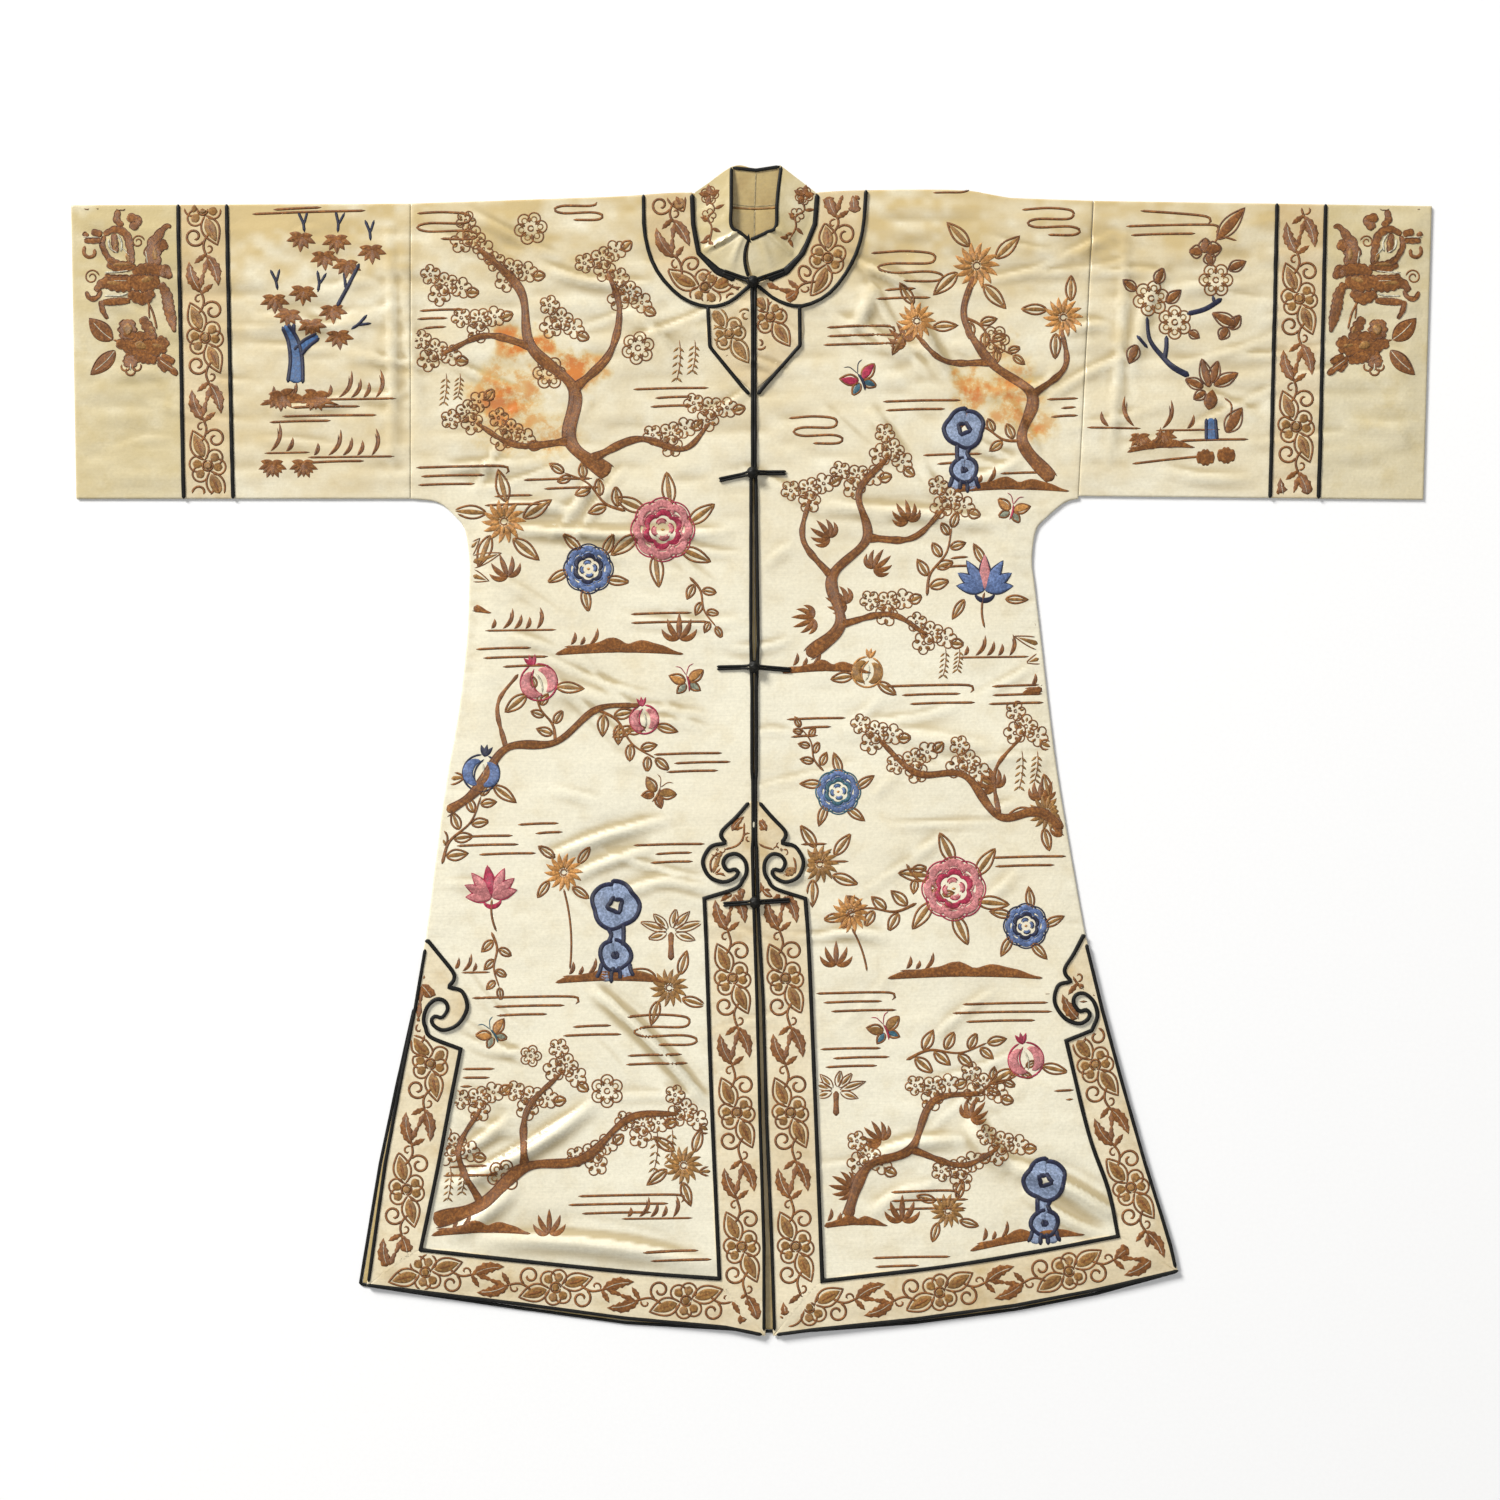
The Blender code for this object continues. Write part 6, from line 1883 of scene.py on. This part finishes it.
def right_sleeve():
    """The right sleeve's branch: flowers and leaves on blue twigs over a blue stump, a bank and stones."""
    parts = edged([446+300j, 445+322j], [11, 9], "denim", "navy", 3.6)
    parts += cords((
        ([424+363j, 409+371j, 399+381j, 386+398j, 383+420j], (6.5, 6, 5, 4.2, 3.4)),
        ([400+378j, 402+390j, 402+402j], (5.5, 4.5, 4.2)), ([373+402j, 384+390j], 3.4),
        ([422+423j, 440+428j, 456+438j], 5.2), ([449+433j, 447+441j], 3.6),
    ), "navy", 0.7)
    parts += place_motifs([
        (rosette(16.5, 6), 450, 456), (rosette(17.5, 6), 387, 438, 14), (rosette(16.5, 6), 410, 415, 30),
        (bank(66, 9), 364, 288, 4), (reeds(2, 25, 28), 371, 314, 0, 1, True), (reeds(2, 24, 26), 398, 312),
        (leaf_fan(13, 6), 376, 304), (leaf_fan(13, 6), 400, 306, 8), (mist(96, 1, False), 360, 277, 5),
        (mist(56, 1, False), 420, 300), (mist(76, 2, True), 358, 508), (mist(58, 1, True), 368, 524, -6),
    ])
    for base, tip, width in (
        (451+495j, 478+526j, 15), (462+466j, 479+474j, 11), (373+446j, 360+456j, 10),
        (392+452j, 399+468j, 11), (402+434j, 416+446j, 11), (424+406j, 434+400j, 9),
        (373+393j, 366+375j, 13), (460+308j, 475+332j, 16), (444+352j, 436+380j, 12),
        (438+352j, 420+360j, 11), (448+354j, 472+366j, 12), (446+356j, 452+378j, 11),
        (440+348j, 428+340j, 10), (470+412j, 446+424j, 13), (464+408j, 474+422j, 11),
        (461+410j, 454+398j, 12), (437+483j, 424+484j, 13), (440+485j, 456+487j, 15),
        (439+482j, 440+497j, 13), (442+482j, 446+470j, 12),
    ):
        parts.append(blade(base, tip, width * 0.66))
        parts.append(stroke(drop(base, tip, width / 2), 2, "dark", 0.7, 1.4))
    parts += [blade(443+330j, 447+350j, 14, "brown"), stroke(flow([470+494j, 454+498j, 449+492j]), 2.4)]
    parts.append(stroke(flow([458+342j, 465+334j, 462+312j]), 2.2))
    for centre in (440+284j, 460+286j):
        parts.append(lobed((centre - 9, centre, centre + 9), (10, 19, 10), 4)[0])
    return parts


def cuff_spray():
    """Heavy spray of the cuffs: a flower with tall ruffled wings, a lower flower, leaves and tendrils."""
    parts = []
    for points, width, bumps in (
        ((17+19j, 16+38j, 22+50j, 29+58j, 34+57j), (14, 20, 14, 8, 3), 5), ((20+37j, 30+42j), 13, 2),
        ((-31+49j, -33+39j, -27+27j, -20+20j), 6.5, 5),
        ((-32+50j, -21+55j, -10+50j, -6+36j, -4+21j), 9, 7), ((-28+27j, -16+20j, -3+22j), 10, 4),
        ((-29+21j, -17+17j, 0+19j), 8, 5), ((-22+51j, -21+42j, -20+32j), 8, 3),
        ((-4+13j, 10+17j, 23+15j, 31+10j), 14, 6), ((-9+5j, 8+3j, 23+5j), 20, 5),
        ((-8-7j, 6-12j, 17-5j), 14, 5), ((24+9j, 28+17j, 33+7j), 9, 3),
        ((-4+2j, -20+2j, -32+3j, -40-5j), (17, 18, 13, 5), 7), ((-7+9j, -20+8j, -31+10j), 7, 4),
        ((-49-5j, -45-12j, -38-11j, -34-4j), 5.5, 3), ((-6-14j, -20-15j, -33-16j), 8.5, 8),
        ((-34-14j, -33-23j, -28-32j), (6, 6, 3), 3),
        ((23+3j, 29-8j, 31-20j, 37-45j), (8, 12, 13, 11, 2), 9), ((-9-32j, -9-52j), 21, 3),
        ((-14-46j, 0-49j, 14-47j), 12, 4), ((5-30j, 11-40j, 17-52j), 13, 4),
        ((-20-55j, -4-58j, 12-60j, 29-57j), (8, 20, 24, 14), 7), ((-11-66j, 3-68j, 20-72j), 14, 6),
        ((-6-66j, -6-79j), 17, 3), ((20-50j, 30-59j), 13, 3), ((20-69j, 40-86j), 8, 3),
        ((24-67j, 37-74j), 8, 3), ((21-73j, 29-83j), 7, 2), ((-18+74j, -19+64j, -13+58j), 8, 3),
        ((-9+68j, 0+63j, -5+55j), 12, 3), ((-20+76j, -11+76j), 6, 2), ((-33+50j, -44+53j), 8, 2),
        ((-48+52j, -51+48j), 7, 2), ((-33+44j, -51+44j), 6.5, 3), ((-52+77j, -46+76j), 5, 2),
        ((-40+77j, -36+77j), 5, 1), ((11+78j, 16+78j), 4, 1), ((23+78j, 33+78j), 4, 2),
    ):
        parts += lobed(points, width, bumps)
    for start, end, width in (
        (-20+46j, -21+34j, 4), (-10+32j, -7+22j, 5), (-24+20j, -4+20j, 4.5), (19+24j, 18+38j, 6.5),
        (-9-36j, -9-48j, 10), (-2-56j, 10-60j, 9), (-30+3j, -14+2j, 6), (4+4j, 18+8j, 7),
        (12-38j, 16-47j, 4.5), (29-12j, 31-26j, 4.5), (-24-15j, -12-14j, 3), (26-58j, 14-56j, 5),
        (25-74j, 35-82j, 2.6),
    ):
        parts.append(blade(start, end, width, "tan", 0.05, height=0.75))
    parts += cords((
        ((-27+46j, -25.5+37j, -18+32j), 2.4), ((-18+50j, -14+42j, -15+33j), 2.4), ((9+35j, 11+21j), 2),
        ((-31+13j, -20+13.5j, -7+15j), 2.2), ((-23+5.4j, -8+5j), 1.6), ((-31-9.6j, -16-9.4j, -8-7j), 2.4),
        ((-52+47.5j, -36+47.2j), 1.6), ((22-71j, 36-81j), 1.4), ((-5.6-74j, -5.6-82j), 2),
        ((-14+37j, -6+29j), 1.4),
    ), "cream", 0.95, 1.4)
    for centre, radius in ((-10.5-78j, 4.2), (-5.6-82j, 4.6), (0.4-78j, 4.2)):
        parts.append(stroke(arc(centre, radius, 150, 400), 2.3, "brown", 0.8, 1.2))
    for base, tip, width in ((-23-52j, -46-31j, 18), (-21-62j, -45-86j, 15)):
        parts.append(blade(base, tip, width, "brown", 0.05))
        parts.append(stroke(bent(base, base + (tip - base) * 0.84, 0.05), 1.8, "cream", 0.9))
        parts.append(stroke(drop(base, tip, width * 0.42), 1.2, "dark", 0.75, 1.4))
    parts += cords((((10-14j, 16-26j, 20-42j), 2.6), ((12-14j, 12-24j, 13-32j), 2.2)), "brown", 0.6)
    parts += [curl(8+44j, 100, 6.5, 1, 1.5, 1.9), curl(-36+10j, 100, 7.5, 1, 1.5, 1.9)]
    parts.append(stroke([-23-52j, -14-54j], 2.4))
    parts.append(stroke(flow([-50+39j, -51+32j, -46.5+28j, -41+30j, -40.5+36j]), 3.8, "brown", 0.7, 1.3))
    return parts


def collar_sprig():
    """Small upright sprig of the collar: a ragged flower, a crooked stem and narrow leaves."""
    parts = put(rosette(8.4, 5, "brown", "brown"), 2+24j)
    parts += [blade(2+24j, 2 + 24j + 11 * np.exp(1j * a), 6.5, "brown") for a in (0.4, 1.6, 2.9, 4.4)]
    parts += put(rosette(6.6, 5, "brown", "brown", double=False), 0+4j)
    parts.append(stroke(flow([2+18j, 6+10j, -1+2j, 2-8j, -2-24j]), 2.3, "brown"))
    for at, way in ((6+10j, 8+3j), (0, -7+3j), (2-8j, 7-4j), (-14j, -6-5j), (-2-20j, 5-6j), (-2-20j, -7-1j)):
        parts.append(blade(at, at + 1.25 * way, 4, "brown"))
    return parts


# Placing the embroidery

def band_middle(outline, low, high, upright):
    """Middle line of a strip between two heights (or distances across), drawn on at both ends."""
    values = np.linspace(low, high, 24)
    spans, crossing = crossings(outline if upright else outline.imag + 1j * outline.real, values)
    first = np.where(spans, crossing, np.inf).min(axis=1)
    last = np.where(spans, crossing, -np.inf).max(axis=1)
    middle = (first + last) / 2 + 1j * values
    if not upright:
        middle = middle.imag + 1j * middle.real
    before = middle[0] + (middle[0] - middle[2]) / abs(middle[0] - middle[2]) * DRAWN_ON
    after = middle[-1] + (middle[-1] - middle[-3]) / abs(middle[-1] - middle[-3]) * DRAWN_ON
    return np.concatenate([[before], middle, [after]])


DRAWN_ON = 70  # how far a border's middle line is drawn on past the strip's ends
# Scrolls: pitch of the flowers and where the first one is on each side
SLEEVE_SCROLL = {"pitch": 124, "left": 14, "right": 52}
NECK_SCROLL = {"pitch": 118, "left": 104, "right": 66}
SLEEVE_BAND_SPAN = (262, 512)  # heights between which a sleeve band's middle line is drawn
WORN_SPOT = 2.4 - 72j  # where the binding of the opening is worn through to its pale core
NECK_MIDDLE = {
    "left": ((-81, 541), (-77, 499), (-66, 468), (-42, 447.5), (-19, 446.5), (-2, 451)),
    "right": ((87.5, 541), (82, 497), (64, 463), (42, 449), (22, 447.5), (6, 451)),
}


def strip_scrolls(side):
    """Scroll embroidery of the three border strips, each cut off at its mitres."""
    sign = SIGN[side]
    parts = []
    for place, low, high, upright, pitch, first in (
        ("front", -172, -500, True, 130, 49),
        ("hem", sign * 300 if side == "left" else 72, -72 if side == "left" else 320, False, 127, -16),
        ("side", -285, -455, True, 124, 20),
    ):
        outline = OUTLINES[f"border_{place}_{side}"]
        path = band_middle(outline, low, high, upright)
        parts += trimmed(scroll(path, pitch, first + DRAWN_ON), outline, (), 3.6)
    return parts


def head_leaves(side):
    """Leaves, petals and curls in each cloud head."""
    front = toothed(-19-78j, -7-64j, 9) + put(rosette(7, 5, "brown", "tan", double=False), -33-96j)
    front += [curl(-8-88j, 120, 6, -1, 1.3, 2.2), stroke(flow([-7-70j, -8-84j, -14-92j, -26-96j]), 2.4)]
    front += leaf(-30-99j, -38-121j, 12) + leaf(-37-122j, -22-126j, 9)
    front += [curl(-30-112j, 300, 4.5, 1, 1.2, 2), stroke(flow([-10-120j, -14-132j, -10-146j]), 2.4)]
    front += toothed(-14-128j, -9-144j, 10) + toothed(-15-134j, -25-142j, 8)
    front = put(front, 0) if side == "left" else put(front, -4.4, flip=True)
    parts = trimmed(front, OUTLINES[f"border_front_{side}"], (), 3.4)
    outline = OUTLINES[f"border_side_{side}"]
    inner = outline[outline.imag > -250]
    unit = toothed(8+44j, 14+72j, 9) + toothed(12+22j, 34+48j, 9) + leaf(18+12j, 34+22j, 10)
    unit += [stroke(flow([8+2j, 15+14j, 10+28j, 8+46j]), 2.2), curl(14+15j, 20, 5, -1, 1.2)]
    unit.append(curl(6+30j, 150, 4.5, 1))
    foot = complex(inner.real.mean() - SIGN[side] * 14, inner.imag.min() - 14)
    return parts + trimmed(put(unit, foot, flip=side == "right"), outline, (), 3.4)


def on_collar(side):
    """Height of a collar front's upper side: its grid's levels, weighted by nearness."""
    plan, level = collar_front(side)
    grid, levels = plan.ravel(), level.ravel()

    def surface(points):
        near = np.exp(-((np.abs(points[:, None] - grid[None]) / 2.4) ** 2)) + 1e-12
        return (near * levels).sum(axis=1) / near.sum(axis=1)

    return surface


class JACKET_OT_field(bpy.types.Operator):
    """Embroidery of the fronts and sleeves: boughs, flowers, fruit, stones, water and cloud"""

    bl_idname = "jacket.field"
    bl_label = "Field embroidery"

    def execute(self, context):
        for side in SIDES:
            applied = ("border_front_", "border_hem_", "border_side_", "neck_band_", "chest_tab_")
            holes = [OUTLINES[piece + side] for piece in applied]
            field = left_field() if side == "left" else right_field()
            field = trimmed(field, OUTLINES["front_" + side], holes, 3.6)
            if side == "right":
                field.append(stroke(flow([176+540.6j, 190+540.9j, 203+541j, 211+543j]), 2.3))
            embroider("embroidery_front_" + side, field, on_cloth)
            panel = OUTLINES[f"sleeve_{side}_front"]
            holes = [OUTLINES["sleeve_band_" + side]]
            sleeve = left_sleeve() if side == "left" else right_sleeve()
            embroider("embroidery_sleeve_" + side, trimmed(sleeve, panel, holes, 3.4), on_cloth)
        return {"FINISHED"}


class JACKET_OT_scrolls(bpy.types.Operator):
    """Scroll embroidery of the sleeve bands, neck bands, chest tabs and border strips"""

    bl_idname = "jacket.scrolls"
    bl_label = "Scroll embroidery"

    def execute(self, context):
        for side in SIDES:
            outline = OUTLINES["sleeve_band_" + side]
            path = band_middle(outline, *SLEEVE_BAND_SPAN, True)
            parts = scroll(path, SLEEVE_SCROLL["pitch"], SLEEVE_SCROLL[side] + DRAWN_ON)
            parts = trimmed(parts, outline, (), 3.4)
            embroider("embroidery_sleeve_band_" + side, parts, on_cloth)
            embroider("embroidery_border_" + side, strip_scrolls(side) + head_leaves(side), on_strip)
            outline = OUTLINES["neck_band_" + side]
            path = flow([complex(*point) for point in NECK_MIDDLE[side]])
            parts = trimmed(scroll(path, NECK_SCROLL["pitch"], NECK_SCROLL[side]), outline, (), 3.2)
            at, tip, turn = (-22+404j, -12+424j, 70) if side == "left" else (18+420j, 14+392j, 250)
            tab = put(band_flower(), at, 102, 0.92) + put(half_vine(56), at, 250, 0.9, side == "right")
            tab.append(curl(tip, turn, 6.5, -1, 1.2))
            if side == "left":
                tab = [(*line, "tan" if thread == "brown" else thread, step) for *line, thread, step in tab]
            parts += trimmed(tab, OUTLINES["chest_tab_" + side], (outline,), 3.2)
            embroider("embroidery_neck_" + side, parts, on_strip)
        worn = [stroke([WORN_SPOT - 3j, WORN_SPOT + 3j], 2.4, "cream", 0.5, 1.2)]
        embroider("worn_binding", worn, lambda points: PIPING_TOP["strip"] + lay(points))
        return {"FINISHED"}


SPRAY_PLACE = {"left": -596+450j, "right": 598+450j}
SPRIG_PLACE = {"left": (-41+514j, 4), "right": (43+515j, -14)}


class JACKET_OT_sprays(bpy.types.Operator):
    """Embroidery of the cuffs and the collar"""

    bl_idname = "jacket.sprays"
    bl_label = "Cuff and collar embroidery"

    def execute(self, context):
        for side in SIDES:
            parts = put(cuff_spray(), SPRAY_PLACE[side], flip=side == "right")
            parts = trimmed(parts, OUTLINES[f"cuff_{side}_front"], [OUTLINES["sleeve_band_" + side]], 3)
            embroider("embroidery_cuff_" + side, parts, on_cloth)
            sprig = put(collar_sprig(), *SPRIG_PLACE[side])
            embroider("embroidery_collar_" + side, sprig, on_collar(side))
        return {"FINISHED"}


class JACKET_PT_steps(bpy.types.Panel):
    """Lists the steps that build the jacket, with their settings."""

    bl_idname = "JACKET_PT_steps"
    bl_label = "Embroidered jacket"
    bl_space_type = "VIEW_3D"
    bl_region_type = "UI"
    bl_category = "Jacket"

    def draw(self, context):
        for item in CLASSES:
            if issubclass(item, bpy.types.Operator):
                self.layout.operator(item.bl_idname)
        scene = context.scene
        for settings in (scene.jacket_stage, scene.jacket_cloth, scene.jacket_colors, scene.jacket_threads):
            box = self.layout.box()
            for setting in settings.__annotations__:
                box.prop(settings, setting)


CLASSES = (
    SilkColors,
    ThreadColors,
    ClothSizes,
    StageSizes,
    JACKET_OT_stage,
    JACKET_OT_backs,
    JACKET_OT_body,
    JACKET_OT_bands,
    JACKET_OT_piping,
    JACKET_OT_collar,
    JACKET_OT_frogs,
    JACKET_OT_field,
    JACKET_OT_scrolls,
    JACKET_OT_sprays,
    JACKET_PT_steps,
)


def register():
    for item in CLASSES:
        bpy.utils.register_class(item)
    bpy.types.Scene.jacket_colors = PointerProperty(type=SilkColors)
    bpy.types.Scene.jacket_threads = PointerProperty(type=ThreadColors)
    bpy.types.Scene.jacket_cloth = PointerProperty(type=ClothSizes)
    bpy.types.Scene.jacket_stage = PointerProperty(type=StageSizes)


def unregister():
    del bpy.types.Scene.jacket_stage
    del bpy.types.Scene.jacket_cloth
    del bpy.types.Scene.jacket_threads
    del bpy.types.Scene.jacket_colors
    for item in reversed(CLASSES):
        bpy.utils.unregister_class(item)


def main():
    """Makes the whole jacket."""
    register()
    for step in (
        bpy.ops.jacket.stage,
        bpy.ops.jacket.backs,
        bpy.ops.jacket.body,
        bpy.ops.jacket.bands,
        bpy.ops.jacket.piping,
        bpy.ops.jacket.collar,
        bpy.ops.jacket.frogs,
        bpy.ops.jacket.field,
        bpy.ops.jacket.scrolls,
        bpy.ops.jacket.sprays,
    ):
        step()


if __name__ == "__main__":
    main()
